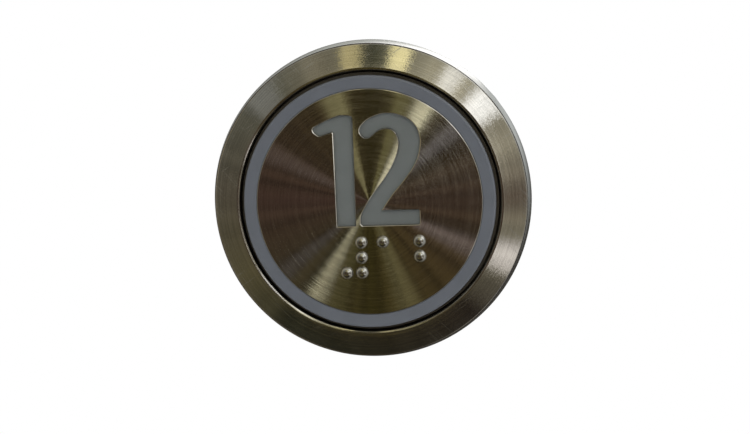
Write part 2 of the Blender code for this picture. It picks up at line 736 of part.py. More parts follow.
def make_header(parts, tools, frame, white, tin):
    """Four-way shrouded header on the back of the board."""
    width, height = HEADER_SIZE
    top = PCB_Z[1] - FACE_GAP
    length = top - HEADER_END_Z
    mesh = boxes("header", [((0.0, 0.0, top - length / 2), (width, height, length))])
    shroud = place(mesh, "header_shroud", parts, frame, white)
    depth = HEADER_FLOOR_Z - HEADER_END_Z
    room = (width - 2 * HEADER_WALL, height - 2 * HEADER_WALL, 2 * depth)
    combine(shroud, boxes("room", [((0.0, 0.0, HEADER_END_Z), room)]), 'DIFFERENCE', tools, "room")
    columns = [(n - (HEADER_PIN_COUNT - 1) / 2) * HEADER_PIN_PITCH
               for n in range(HEADER_PIN_COUNT)]
    hole = (HEADER_PIN_HOLE, HEADER_PIN_HOLE, 2 * length)
    holes = boxes("pin_holes", [((x, 0.0, top - length / 2), hole) for x in columns])
    combine(shroud, holes, 'DIFFERENCE', tools, "pin_holes")
    pin_length = top - HEADER_PIN_TIP_Z
    for number, x in enumerate(columns, start=1):
        name = f"header_pin_{number}"
        centre = (x, 0.0, top - pin_length / 2)
        mesh = boxes(name, [(centre, (HEADER_PIN, HEADER_PIN, pin_length))])
        place(mesh, name, parts, frame, tin)


# ---------------------------------------------------------------- rear group

def make_rear_housing(parts, tools, frame, mat):
    """Black rear cover with the header window and three screw posts."""
    floor_top, floor_bottom = REAR_FLOOR_Z
    profile = [
        (0.0, floor_top), (REAR_WALL_INNER_R, floor_top), (REAR_WALL_INNER_R, REAR_TOP_Z),
        (REAR_R, REAR_TOP_Z), (REAR_R, floor_bottom), (0.0, floor_bottom),
    ]
    mesh = turned("rear_housing", profile, REAR_STEPS)
    housing = place(mesh, "rear_housing", parts, frame, mat)
    middle = (floor_top + floor_bottom) / 2
    spots = [polar(CASE_SCREW_STATION_R, angle) for angle in SCREW_ANGLES]
    posts = [(spot, REAR_POST_R, middle, REAR_TOP_Z) for spot in spots]
    combine(housing, rods("posts", posts), 'UNION', tools, "posts")
    low = floor_bottom - CUT_PAST
    high = REAR_TOP_Z + CUT_PAST
    holes = [(spot, CASE_SCREW_HOLE_R, low, high) for spot in spots]
    combine(housing, rods("post_holes", holes), 'DIFFERENCE', tools, "post_holes")
    depth = floor_top - floor_bottom + 2 * CUT_PAST
    window = (HEADER_SIZE[0] + 2 * RUNNING_GAP, HEADER_SIZE[1] + 2 * RUNNING_GAP, depth)
    cutter = boxes("window", [((0.0, 0.0, middle), window)])
    combine(housing, cutter, 'DIFFERENCE', tools, "window")


def make_case_screws(parts, tools, frame, mat):
    """Three long screws with crossed recesses, from the rear into the inner housing."""
    head_r, head_height = CASE_SCREW_HEAD
    seat = REAR_FLOOR_Z[1] - FACE_GAP
    end = seat - head_height
    profile = [
        (0.0, CASE_SCREW_TIP_Z), (CASE_SCREW_R, CASE_SCREW_TIP_Z), (CASE_SCREW_R, seat),
        (head_r, seat), (head_r, end + HEAD_CHAMFER), (head_r - HEAD_CHAMFER, end), (0.0, end),
    ]
    long_side, short_side, recess_depth = RECESS_SIZE
    for number, angle in enumerate(SCREW_ANGLES, start=1):
        name = f"case_screw_{number}"
        x, y = polar(CASE_SCREW_STATION_R, angle)
        screw = place(turned(name, profile, SMALL_STEPS, (x, y)), name, parts, frame, mat)
        for label, size in (("recess_a", (long_side, short_side, 2 * recess_depth)),
                            ("recess_b", (short_side, long_side, 2 * recess_depth))):
            combine(screw, boxes(label, [((x, y, end), size)]), 'DIFFERENCE', tools, label)


def make_circlip(parts, frame, mat):
    """Internal circlip with two eared ends, in the barrel's rear groove."""
    inner, outer = CIRCLIP_R
    half_gap = CIRCLIP_GAP_DEG / 2
    start = CIRCLIP_GAP_AT_DEG + half_gap
    end = CIRCLIP_GAP_AT_DEG - half_gap + 360.0
    ear_r = inner - CIRCLIP_EAR_REACH
    outline = arc(outer, start, end, REAR_STEPS)
    outline += arc(ear_r, end, end - CIRCLIP_EAR_DEG, 2)
    outline += arc(inner, end - CIRCLIP_EAR_DEG, start + CIRCLIP_EAR_DEG, REAR_STEPS)
    outline += arc(ear_r, start + CIRCLIP_EAR_DEG, start, 2)
    outlines = [outline]
    for angle in (start + CIRCLIP_EAR_DEG / 2, end - CIRCLIP_EAR_DEG / 2):
        outlines.append(circle(CIRCLIP_HOLE_R, SMALL_STEPS, polar(CIRCLIP_HOLE_STATION_R, angle)))
    place(flat_plate(outlines, CIRCLIP_Z[1], CIRCLIP_Z[0]), "circlip", parts, frame, mat)


# ---------------------------------------------------------------- assembly

def main():
    """Build the whole button."""
    clear_scene()
    parts = make_collection(SET_NAME)
    tools = make_collection("cutters")

    frame = make_empty("button_frame", parts)
    frame.rotation_euler = (math.radians(90.0), 0.0, 0.0)
    pressel = make_empty("pressel_slide", parts, frame)
    switch_slide = make_empty("switch_slide", parts, frame)
    washer_slide = make_empty("washer_slide", parts, frame)
    nut_thread = make_empty("nut_thread", parts, washer_slide)

    stainless = make_material("brushed_stainless", (0.42, 0.40, 0.36), 0.28, metallic=1.0)
    polished = make_material("polished_stainless", (0.55, 0.54, 0.52), 0.1, metallic=1.0)
    opal = make_material("opal_polycarbonate", (0.31, 0.33, 0.36), 0.35, transmission=0.2)
    white = make_material("white_plastic", (0.78, 0.78, 0.76), 0.45)
    black = make_material("black_plastic", (0.02, 0.02, 0.022), 0.5)
    red = make_material("red_plastic", (0.5, 0.03, 0.02), 0.4)
    rubber = make_material("black_rubber", (0.015, 0.015, 0.015), 0.8)
    board = make_material("green_board", (0.02, 0.16, 0.06), 0.4)
    lamp = make_material("lamp_body", (0.8, 0.75, 0.5), 0.3)
    ceramic = make_material("resistor_body", (0.03, 0.03, 0.035), 0.4)
    nickel = make_material("nickel_plate", (0.58, 0.55, 0.50), 0.3, metallic=1.0)
    zinc = make_material("zinc_plate", (0.55, 0.56, 0.58), 0.35, metallic=1.0)
    spring_steel = make_material("spring_steel", (0.35, 0.35, 0.36), 0.3, metallic=1.0)
    tin = make_material("tinned_pin", (0.7, 0.68, 0.6), 0.25, metallic=1.0)

    make_bezel(parts, frame, stainless)
    make_barrel(parts, tools, frame, nickel)
    make_seals(parts, frame, rubber)
    make_clamp(parts, tools, washer_slide, nut_thread, zinc, spring_steel)

    make_face_plate(parts, pressel, stainless)
    make_braille_pins(parts, pressel, polished)
    make_diffuser(parts, tools, pressel, opal)
    make_carrier(parts, tools, pressel, white)
    make_carrier_screws(parts, pressel, zinc)

    make_springs(parts, frame, spring_steel)
    make_inner_housing(parts, tools, frame, white)
    make_circuit_board(parts, frame, board)
    make_lamps(parts, frame, lamp)
    make_resistors(parts, frame, ceramic)
    make_switch(parts, tools, frame, switch_slide, black, red)
    make_header(parts, tools, frame, white, tin)

    make_rear_housing(parts, tools, frame, black)
    make_case_screws(parts, tools, frame, zinc)
    make_circlip(parts, frame, spring_steel)


main()
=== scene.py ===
"""Looks of the round panel push button: camera, light, refined pieces and materials.

The row frame is used throughout, in metres: the button faces -Y and +Z is up. Turned pieces are
given by (radius, height) points in millimetres, where height is the distance in front of the
panel's surface, so that y = -height.
"""

import json
import math

import bmesh
import bpy
from mathutils import Matrix, Vector

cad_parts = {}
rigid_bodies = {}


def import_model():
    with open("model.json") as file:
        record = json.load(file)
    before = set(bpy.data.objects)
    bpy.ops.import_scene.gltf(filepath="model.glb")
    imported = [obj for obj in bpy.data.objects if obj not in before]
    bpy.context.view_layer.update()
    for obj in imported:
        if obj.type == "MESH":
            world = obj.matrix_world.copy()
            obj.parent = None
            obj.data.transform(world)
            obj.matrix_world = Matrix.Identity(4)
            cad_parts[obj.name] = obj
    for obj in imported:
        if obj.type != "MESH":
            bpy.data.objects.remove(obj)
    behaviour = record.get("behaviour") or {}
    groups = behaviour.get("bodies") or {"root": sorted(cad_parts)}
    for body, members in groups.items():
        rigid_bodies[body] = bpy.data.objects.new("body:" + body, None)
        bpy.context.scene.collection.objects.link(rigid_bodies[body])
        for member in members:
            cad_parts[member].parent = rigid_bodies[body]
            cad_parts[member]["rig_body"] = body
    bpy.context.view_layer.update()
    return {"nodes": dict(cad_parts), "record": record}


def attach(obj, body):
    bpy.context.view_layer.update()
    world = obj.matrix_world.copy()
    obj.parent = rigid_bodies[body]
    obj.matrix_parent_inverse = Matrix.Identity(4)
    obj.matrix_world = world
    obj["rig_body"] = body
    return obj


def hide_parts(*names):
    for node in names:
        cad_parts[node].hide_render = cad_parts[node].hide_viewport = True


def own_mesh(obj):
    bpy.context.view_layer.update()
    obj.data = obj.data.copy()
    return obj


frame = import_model()

MM = 0.001

# ---------------------------------------------------------------- sizes, in millimetres

FINE_SEGMENTS = 256
MEDIUM_SEGMENTS = 128
SMALL_SEGMENTS = 48
HOLE_SEGMENTS = 32
CUT_PAST = 1.0
SAME_POINT = 0.002
ROUND_STEPS = 4

# Bezel and barrel, as in the CAD model, with their small rounds.
BEZEL_FRONT_R = 26.0
BEZEL_REAR_R = 26.45
RIM_HEIGHT = 2.9
RIM_FACET = 0.22
CONE_TOP_R = 22.0
CONE_TOP_Z = 4.6
LIP_R = 21.55
LIP_CHAMFER = 0.38
LIP_FACET = (21.66, 4.505)
SHOULDER_Z = 1.2
BORE_R = 22.5
BARREL_R = 24.0
BARREL_FRONT_Z = 2.3
BARREL_END_Z = -16.0
SEAT_GAP = 0.05
GASKET_GROOVE = (24.6, 25.8, 0.8)
CIRCLIP_GROOVE = (23.1, -13.9, -15.1)
KEY_SIZE = (3.0, 2.0, 1.5)
KEY_REACH = 1.0
THREAD_PITCH = 1.5
THREAD_DEPTH = 0.8
THREAD_SPAN = (-1.8, -15.5)
THREAD_ROWS = 10

# Face plate and braille pins.
PLATE_R = 18.65
PLATE_FRONT_Z = 5.6
PLATE_THICKNESS = 1.0
PLATE_EDGE = 0.15
PLATE_CHAMFER = 0.12
PIN_HOLE_R = 0.65
PIN_DOME_R = 1.04
PIN_DOME_HEIGHT = 0.75
PIN_DOME_STEPS = 16
PIN_UNDERCUT = (0.05, 0.04)
PIN_SHANK_R = 0.6
PIN_TIP_Z = 3.9
PIN_HOLE_Z = 3.8

# Diffuser, with its halo ring and the numerals that stand in the plate's openings.
HALO_R = 20.8
HALO_FRONT_Z = 5.5
HALO_STEPS = 8
HALO_EDGE = 0.35
LEDGE_R = 21.25
LEDGE_Z = 3.9
POCKET_R = 18.68
POCKET_EDGE = 0.05
POCKET_FLOOR_Z = 4.55
FRONT_WALL = 1.5
SKIRT_INNER_R = 19.4
FLANGE_R = 22.2
FLANGE_Z = (0.6, -0.4)
NUMERAL_FRONT_Z = 5.0
NUMERAL_INSET = 0.03
DIFFUSER_BOSS = (2.0, 1.1, 1.05, 2.9)
SCREW_ANGLES = (30, 150, 270)

BRAILLE_DOT_PITCH = 2.5
BRAILLE_CELL_PITCH = 6.06
BRAILLE_LEFT = -4.1
BRAILLE_TOP = -6.68
BRAILLE_CELLS = ((3, 4, 5, 6), (1,), (1, 2))

# What the rear housing's back carries. These details stand on the CAD model's plain back.
REAR_BACK_Z = -13.8
REAR_ROOT = 0.3
REAR_RIDGE_R = (17.6, 18.6)
REAR_RIDGE_Z = -14.5
REAR_RIB_WIDTH = 0.9
REAR_RIBS = ((0, 6.8), (60, 4.2), (120, 4.2), (180, 6.8), (240, 4.2), (300, 4.2))
REAR_COLLAR_R = (2.4, 3.3)
REAR_COLLAR_Z = -14.7
REAR_SCREW_STATION_R = 13.5
HEADER_WINDOW = (13.0, 6.4)
HEADER_BORDER = 1.0
HEADER_BORDER_Z = -15.0
EJECTOR_MARK_R = 1.3
EJECTOR_MARK_DEPTH = 0.15
EJECTOR_ANGLES = (90, 210, 330)
PIN_ONE_MARK = ((-5.3, -8.0), 0.7, 0.25)

# Return springs at rest, and the stations of the springs and the diffuser's bosses.
SPRING_ANGLES = (90, 210, 330)
STATION_R = 15.3
SPRING_R = 2.0
SPRING_WIRE_R = 0.2
SPRING_TURNS = 4.0
SPRING_CLOSED_TURNS = 0.75
SPRING_POINTS_PER_TURN = 32
SPRING_Z = (-4.25, -0.7)

# Numeral outlines: (x, y, corner) for each point, where a point that isn't a corner is smooth.
DIGIT_ONE = (
    (-2.42, -4.0, True), (-2.4, 13.5, True), (-2.53, 14.05, False), (-3.05, 14.3, True),
    (-4.5, 14.3, True), (-6.2, 13.72, False), (-8.75, 12.5, True), (-8.95, 12.1, False),
    (-8.2, 11.15, False), (-7.75, 11.0, True), (-5.75, 11.62, True), (-5.6, 11.4, True),
    (-5.45, -4.0, True),
)
DIGIT_TWO = (
    (-1.25, 11.7, False), (-0.55, 12.95, False), (1.35, 14.1, False), (3.3, 14.5, False),
    (5.6, 14.05, False), (7.55, 12.85, False), (8.55, 10.8, False), (8.5, 8.4, False),
    (7.65, 6.0, False), (5.7, 3.3, False), (3.7, 0.95, False), (1.95, -1.5, True),
    (8.05, -1.5, True), (8.22, -1.67, True), (8.22, -3.75, True), (8.0, -3.97, True),
    (-1.25, -3.97, True), (-1.6, -3.64, True), (-1.5, -2.5, False), (-0.75, -0.9, False),
    (0.75, 1.35, False), (2.9, 4.15, False), (4.3, 6.55, False), (5.1, 9.0, False),
    (4.95, 10.7, False), (4.2, 11.7, False), (3.1, 12.0, False), (1.9, 11.7, False),
    (0.85, 10.95, False), (0.0, 10.5, False), (-0.8, 10.8, False),
)
NUMERAL_RESOLUTION = 10


# ---------------------------------------------------------------- camera

VIEW_AZIMUTH = 5.5
VIEW_ELEVATION = 5.6
VIEW_ROLL = 2.1
VIEW_DISTANCE = 0.45
FRAME_WIDTH = 0.1238
SENSOR = 36.0
TARGET = Vector((0.0, -RIM_HEIGHT * MM, 0.0))
FRAMING_SHIFT = (0.0055, -0.0224)


def make_camera():
    """Camera at the photograph's angle: a little above and to the right of the face."""
    data = bpy.data.cameras.new("view")
    data.sensor_width = SENSOR
    data.lens = SENSOR * VIEW_DISTANCE / FRAME_WIDTH
    data.shift_x, data.shift_y = FRAMING_SHIFT
    data.clip_start = 0.01
    data.clip_end = 20.0
    camera = bpy.data.objects.new("view", data)
    bpy.context.scene.collection.objects.link(camera)
    azimuth = math.radians(VIEW_AZIMUTH)
    elevation = math.radians(VIEW_ELEVATION)
    back = Vector((math.sin(azimuth) * math.cos(elevation),
                   -math.cos(azimuth) * math.cos(elevation), math.sin(elevation)))
    turn = (-back).to_track_quat('-Z', 'Y').to_matrix().to_4x4()
    roll = Matrix.Rotation(math.radians(-VIEW_ROLL), 4, 'Z')
    camera.matrix_world = Matrix.Translation(TARGET + back * VIEW_DISTANCE) @ turn @ roll
    bpy.context.scene.camera = camera


make_camera()


# ---------------------------------------------------------------- node graph helper

class Graph:
    """Builds the nodes of one material or world."""

    def __init__(self, tree):
        self.tree = tree
        tree.nodes.clear()

    def node(self, kind, inputs=(), **settings):
        """Add a node; inputs maps socket names or numbers to values or to sockets."""
        made = self.tree.nodes.new(kind)
        for key, value in settings.items():
            setattr(made, key, value)
        for key, value in dict(inputs).items():
            self.feed(made.inputs[key], value)
        return made

    def feed(self, socket, value):
        """Link a socket, or set its value."""
        if isinstance(value, bpy.types.NodeSocket):
            self.tree.links.new(value, socket)
        else:
            socket.default_value = value

    def math(self, operation, a, b=0.0, clamp=False):
        """Return the result of one sum."""
        made = self.node("ShaderNodeMath", {0: a, 1: b}, operation=operation, use_clamp=clamp)
        return made.outputs[0]

    def smooth(self, value, low, high, to_low=0.0, to_high=1.0):
        """Return a smooth step of a value from one range into another."""
        made = self.node("ShaderNodeMapRange", {0: value, 1: low, 2: high, 3: to_low, 4: to_high},
                         interpolation_type='SMOOTHSTEP')
        return made.outputs[0]

    def ramp(self, value, stops, interpolation='EASE'):
        """Return a colour from (position, colour) stops."""
        made = self.node("ShaderNodeValToRGB", {0: value})
        band = made.color_ramp
        band.interpolation = interpolation
        while len(band.elements) < len(stops):
            band.elements.new(1.0)
        for element, (position, colour) in zip(band.elements, stops):
            element.position = position
            element.color = (*colour, 1.0)
        return made.outputs[0]

    def mix(self, share, a, b, blend='MIX'):
        """Return a mix of two colours."""
        made = self.node("ShaderNodeMix", {0: share, 6: a, 7: b}, data_type='RGBA',
                         blend_type=blend)
        return made.outputs[2]

    def noise(self, vector, scale, detail=2.0, rough=0.5):
        """Return a noise value round 0.5."""
        made = self.node("ShaderNodeTexNoise", {"Vector": vector, "Scale": scale,
                                                "Detail": detail, "Roughness": rough})
        return made.outputs[0]

    def vector(self, x, y, z):
        """Return a vector from three values."""
        return self.node("ShaderNodeCombineXYZ", {0: x, 1: y, 2: z}).outputs[0]

    def bump(self, height, distance, strength=1.0, normal=None):
        """Return a bumped normal, for a height of 0 to 1 over a distance in metres."""
        inputs = {"Height": height, "Distance": distance, "Strength": strength}
        if normal is not None:
            inputs["Normal"] = normal
        return self.node("ShaderNodeBump", inputs).outputs[0]


def position(graph):
    """Return a point's x, y and z in the object's own space, in millimetres."""
    place = graph.node("ShaderNodeTexCoord").outputs["Object"]
    scaled = graph.node("ShaderNodeVectorMath", {0: place, 1: (1000.0, 1000.0, 1000.0)},
                        operation='MULTIPLY').outputs[0]
    split = graph.node("ShaderNodeSeparateXYZ", {0: scaled})
    return scaled, split.outputs[0], split.outputs[1], split.outputs[2]


def about_axis(graph):
    """Return the radius and the cosine and sine of the angle round the button's axis."""
    _, x, _, z = position(graph)
    squares = graph.math('ADD', graph.math('MULTIPLY', x, x), graph.math('MULTIPLY', z, z))
    radius = graph.math('SQRT', squares)
    safe = graph.math('MAXIMUM', radius, 0.001)
    return radius, graph.math('DIVIDE', x, safe), graph.math('DIVIDE', z, safe)


def new_material(name):
    """Return a material, its node graph and its shader."""
    mat = bpy.data.materials.new(name)
    mat.use_nodes = True
    graph = Graph(mat.node_tree)
    shader = graph.node("ShaderNodeBsdfPrincipled")
    output = graph.node("ShaderNodeOutputMaterial")
    graph.feed(output.inputs[0], shader.outputs[0])
    return mat, graph, shader


# ---------------------------------------------------------------- materials

SCRATCH_DEGREES = (32, -48)
# Dark brown for painted shade, laid on the opal plastic below a given height in the channel round
# the halo.
CHANNEL_SHADE_COLOUR = (0.052, 0.046, 0.036)


def scratches(graph, degrees):
    """Return fine straight scratches that run one way, in a few patches, from 0 to 1."""
    _, x, _, z = position(graph)
    cosine = math.cos(math.radians(degrees))
    sine = math.sin(math.radians(degrees))
    along = graph.math('ADD', graph.math('MULTIPLY', x, cosine), graph.math('MULTIPLY', z, sine))
    aside = graph.math('SUBTRACT', graph.math('MULTIPLY', z, cosine),
                       graph.math('MULTIPLY', x, sine))
    place = graph.vector(graph.math('MULTIPLY', along, 0.14), graph.math('MULTIPLY', aside, 5.0),
                         degrees)
    patch = graph.noise(graph.vector(x, z, degrees), 0.13, 1.0)
    return graph.math('MULTIPLY', graph.smooth(graph.noise(place, 1.0, 1.0), 0.64, 0.7),
                      graph.smooth(patch, 0.44, 0.56))


def spun_stainless(name, rough, wall, skew, sparkle, wear):
    """Stainless steel brushed in circles about the button's axis.

    Wall is the slope of the fine grooves' sides, and skew moves the share of their width that
    leans outwards, from a half at 0. Wear is how strong the scratches are.
    """
    mat, graph, shader = new_material(name)
    radius, cosine, sine = about_axis(graph)
    scaled, _, depth, _ = position(graph)
    across = graph.math('ADD', radius, graph.math('MULTIPLY', depth, 0.45))

    def ring_noise(per_mm, along, detail):
        place = graph.vector(graph.math('MULTIPLY', across, per_mm),
                             graph.math('MULTIPLY', cosine, along),
                             graph.math('MULTIPLY', sine, along))
        return graph.math('SUBTRACT', graph.noise(place, 1.0, detail, 0.6), 0.5)

    groove = ring_noise(36.0, 3.0, 1.0)
    lines = ring_noise(4.5, 1.6, 3.0)
    speckle = graph.math('SUBTRACT', graph.noise(scaled, 5.5, 2.0, 0.7), 0.5)
    shade = graph.smooth(graph.math('ADD', lines, graph.math('MULTIPLY', speckle, 0.8)),
                         -0.3, 0.3)
    base = graph.mix(shade, (0.50, 0.49, 0.465, 1.0), (0.66, 0.645, 0.61, 1.0))
    stain = graph.smooth(graph.noise(scaled, 0.25, 4.0, 0.6), 0.5, 0.8, 0.0, 0.2)
    graph.feed(shader.inputs["Base Color"], graph.mix(stain, base, (0.50, 0.47, 0.40, 1.0)))
    marks = [scratches(graph, degrees) for degrees in SCRATCH_DEGREES]
    worn = graph.math('MULTIPLY', graph.math('MAXIMUM', *marks), wear)
    brushed = graph.smooth(shade, 0.0, 1.0, rough, rough + 0.04)
    graph.feed(shader.inputs["Roughness"],
               graph.math('ADD', brushed, graph.math('MULTIPLY', worn, 0.12)))
    shader.inputs["Metallic"].default_value = 1.0
    shader.inputs["Anisotropic"].default_value = 1.0
    shader.inputs["Anisotropic Rotation"].default_value = 0.25
    tangent = graph.node("ShaderNodeTangent", direction_type='RADIAL', axis='Y')
    graph.feed(shader.inputs["Tangent"], tangent.outputs[0])

    shifted = graph.math('ADD', groove, graph.math('MULTIPLY', lines, 0.05))
    slope = graph.smooth(shifted, -skew - 0.012, -skew + 0.012, -wall, wall)
    slope = graph.math('ADD', slope, graph.math('MULTIPLY', worn, 0.08))
    sway = graph.math('MULTIPLY', speckle, sparkle)
    lean = graph.vector(
        graph.math('SUBTRACT', graph.math('MULTIPLY', cosine, slope),
                   graph.math('MULTIPLY', sine, sway)),
        0.0,
        graph.math('ADD', graph.math('MULTIPLY', sine, slope), graph.math('MULTIPLY', cosine, sway)))
    upright = graph.node("ShaderNodeNewGeometry").outputs["Normal"]
    leaning = graph.node("ShaderNodeVectorMath", {0: upright, 1: lean}, operation='ADD')
    grooved = graph.node("ShaderNodeVectorMath", {0: leaning.outputs[0]}, operation='NORMALIZE')
    graph.feed(shader.inputs["Normal"], grooved.outputs[0])
    return mat


def polished_metal(name, colour, rough):
    """Bright polished metal with faint smears."""
    mat, graph, shader = new_material(name)
    scaled, _, _, _ = position(graph)
    smear = graph.noise(scaled, 1.6, 3.0, 0.6)
    low = [c * 0.88 for c in colour]
    graph.feed(shader.inputs["Base Color"], graph.mix(smear, (*low, 1.0), (*colour, 1.0)))
    graph.feed(shader.inputs["Roughness"], graph.smooth(smear, 0.3, 0.8, rough, rough + 0.07))
    shader.inputs["Metallic"].default_value = 1.0
    graph.feed(shader.inputs["Normal"], graph.bump(graph.noise(scaled, 9.0), 0.002 * MM, 0.5))
    return mat


def plated_metal(name, colour, tint, rough, lines=0.0):
    """Plated metal: blotchy plating colour, fine grain and, for turned pieces, tool lines."""
    mat, graph, shader = new_material(name)
    scaled, _, depth, _ = position(graph)
    radius, _, _ = about_axis(graph)
    blotch = graph.smooth(graph.noise(scaled, 0.35, 4.0, 0.62), 0.35, 0.68)
    graph.feed(shader.inputs["Base Color"], graph.mix(blotch, (*colour, 1.0), (*tint, 1.0)))
    grain = graph.noise(scaled, 14.0, 3.0, 0.6)
    graph.feed(shader.inputs["Roughness"], graph.smooth(grain, 0.3, 0.7, rough, rough + 0.12))
    shader.inputs["Metallic"].default_value = 1.0
    tool = graph.noise(graph.vector(graph.math('MULTIPLY', graph.math('ADD', radius, depth), 11.0),
                                    0.0, 0.0), 1.0, 2.0, 0.5)
    height = graph.math('ADD', graph.math('MULTIPLY', grain, 1.0 - lines),
                        graph.math('MULTIPLY', tool, lines))
    graph.feed(shader.inputs["Normal"], graph.bump(height, 0.006 * MM, 0.5))
    return mat


def moulded_plastic(name, colour, rough, texture, subsurface=0.0, shade_below=None):
    """Moulded plastic: spark-eroded surface and faint flow marks.

    The last argument gives the height, in millimetres, below which the colour darkens to a dark
    brown over about 0.9 mm: painted shade for the channel round the halo.
    """
    mat, graph, shader = new_material(name)
    scaled, _, depth, _ = position(graph)
    flow = graph.noise(scaled, 0.22, 3.0, 0.55)
    dark = [c * 0.86 for c in colour]
    light = [min(1.0, c * 1.1 + 0.002) for c in colour]
    plastic_tone = graph.mix(flow, (*dark, 1.0), (*light, 1.0))
    speckle = graph.noise(scaled, 6.5, 4.0, 0.62)
    # Painted shade: below the given height the colour darkens to a dark brown, for the shade in the
    # channel between the bezel's lip and the halo.
    if shade_below:
        painted_shade = graph.smooth(graph.math('ADD', depth, graph.math('MULTIPLY', speckle, 0.3)),
                             -shade_below, -shade_below + 0.9)
        plastic_tone = graph.mix(painted_shade, plastic_tone, (*CHANNEL_SHADE_COLOUR, 1.0))
    graph.feed(shader.inputs["Base Color"], plastic_tone)
    graph.feed(shader.inputs["Roughness"], graph.smooth(speckle, 0.3, 0.7, rough - 0.06,
                                                       rough + 0.08))
    graph.feed(shader.inputs["Normal"], graph.bump(speckle, texture * MM, 0.6))
    if subsurface:
        shader.inputs["Subsurface Weight"].default_value = subsurface
        shader.inputs["Subsurface Radius"].default_value = (1.0, 0.9, 0.8)
        shader.inputs["Subsurface Scale"].default_value = 0.6 * MM
    return mat


MATERIALS = {
    "brushed_stainless": spun_stainless("spun_stainless", 0.09, 0.15, 0.13, 0.02, 0.08),
    "coned_stainless": spun_stainless("coned_stainless", 0.07, 0.05, 0.0, 0.07, 0.9),
    "polished_stainless": polished_metal("polished_stainless", (0.57, 0.57, 0.56), 0.12),
    # The opal gets painted shade from 0.3 mm behind the halo's front backwards, darkening the
    # channel round the halo.
    "opal_plastic": moulded_plastic("opal_polycarbonate", (0.165, 0.182, 0.222), 0.33, 0.004,
                                    0.35, HALO_FRONT_Z - 0.3),
    "numeral_opal": moulded_plastic("numeral_opal", (0.19, 0.21, 0.218), 0.33, 0.004, 0.35),
    "white_plastic": moulded_plastic("white_abs", (0.74, 0.74, 0.71), 0.42, 0.01, 0.1),
    "natural_nylon": moulded_plastic("natural_nylon", (0.74, 0.69, 0.57), 0.4, 0.008, 0.2),
    "black_plastic": moulded_plastic("black_polycarbonate", (0.018, 0.018, 0.02), 0.42, 0.02),
    "red_plastic": moulded_plastic("red_acetal", (0.45, 0.02, 0.015), 0.3, 0.006),
    "black_rubber": moulded_plastic("nitrile_rubber", (0.014, 0.014, 0.014), 0.72, 0.015),
    "green_board": moulded_plastic("solder_mask", (0.012, 0.13, 0.045), 0.3, 0.006),
    "lamp_body": moulded_plastic("lamp_body", (0.72, 0.66, 0.36), 0.3, 0.004, 0.2),
    "resistor_body": moulded_plastic("resistor_body", (0.02, 0.02, 0.022), 0.35, 0.006),
    "nickel_plate": plated_metal("nickel_plate", (0.60, 0.57, 0.52), (0.50, 0.47, 0.41), 0.22, 0.5),
    "zinc_plate": plated_metal("zinc_plate", (0.56, 0.57, 0.60), (0.60, 0.56, 0.46), 0.28, 0.4),
    "spring_steel": plated_metal("spring_steel", (0.30, 0.30, 0.31), (0.24, 0.23, 0.22), 0.26),
    "tinned_pin": plated_metal("tinned_pin", (0.72, 0.70, 0.64), (0.62, 0.59, 0.52), 0.2),
}


# ---------------------------------------------------------------- shape helpers

def polar(radius, degrees):
    """Return the point at a radius and an angle, as (x, y)."""
    angle = math.radians(degrees)
    return radius * math.cos(angle), radius * math.sin(angle)


def circle(radius, steps, centre=(0.0, 0.0)):
    """Return the points of a circle."""
    points = []
    for step in range(steps):
        x, y = polar(radius, 360.0 * step / steps)
        points.append((centre[0] + x, centre[1] + y))
    return points


def softened(points, radius, steps=3):
    """Return a closed profile with each corner rounded to a radius, or to what fits."""
    rounded = []
    count = len(points)
    for index in range(count):
        corner = Vector(points[index])
        before = Vector(points[index - 1]) - corner
        after = Vector(points[(index + 1) % count]) - corner
        reach = min(radius, before.length * 0.45, after.length * 0.45)
        start = corner + before.normalized() * reach
        end = corner + after.normalized() * reach
        for step in range(steps + 1):
            share = step / steps
            low = start.lerp(corner, share)
            high = corner.lerp(end, share)
            rounded.append(tuple(low.lerp(high, share)))
    return rounded


def mark_flats(mesh):
    """Keep the flats that face along the axis flat, right up to their rounded edges."""
    sharp = mesh.attributes.get("sharp_edge") or mesh.attributes.new("sharp_edge", 'BOOLEAN', 'EDGE')
    flat = [abs(face.normal.y) > 0.99999 for face in mesh.polygons]
    meets = {}
    for face in mesh.polygons:
        for key in face.edge_keys:
            meets.setdefault(key, []).append(flat[face.index])
    for edge in mesh.edges:
        sides = meets[tuple(sorted(edge.vertices))]
        if any(sides) and not all(sides):
            sharp.data[edge.index].value = True


def add_object(name, mesh, body, slot, sharp=30.0, look=None):
    """Put a mesh in the scene as a shaded piece of a body."""
    mesh.materials.clear()
    mesh.materials.append(MATERIALS[look or slot])
    mesh.shade_smooth()
    mesh.set_sharp_from_angle(angle=math.radians(sharp))
    mark_flats(mesh)
    piece = bpy.data.objects.new(name, mesh)
    bpy.context.scene.collection.objects.link(piece)
    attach(piece, body)
    return piece


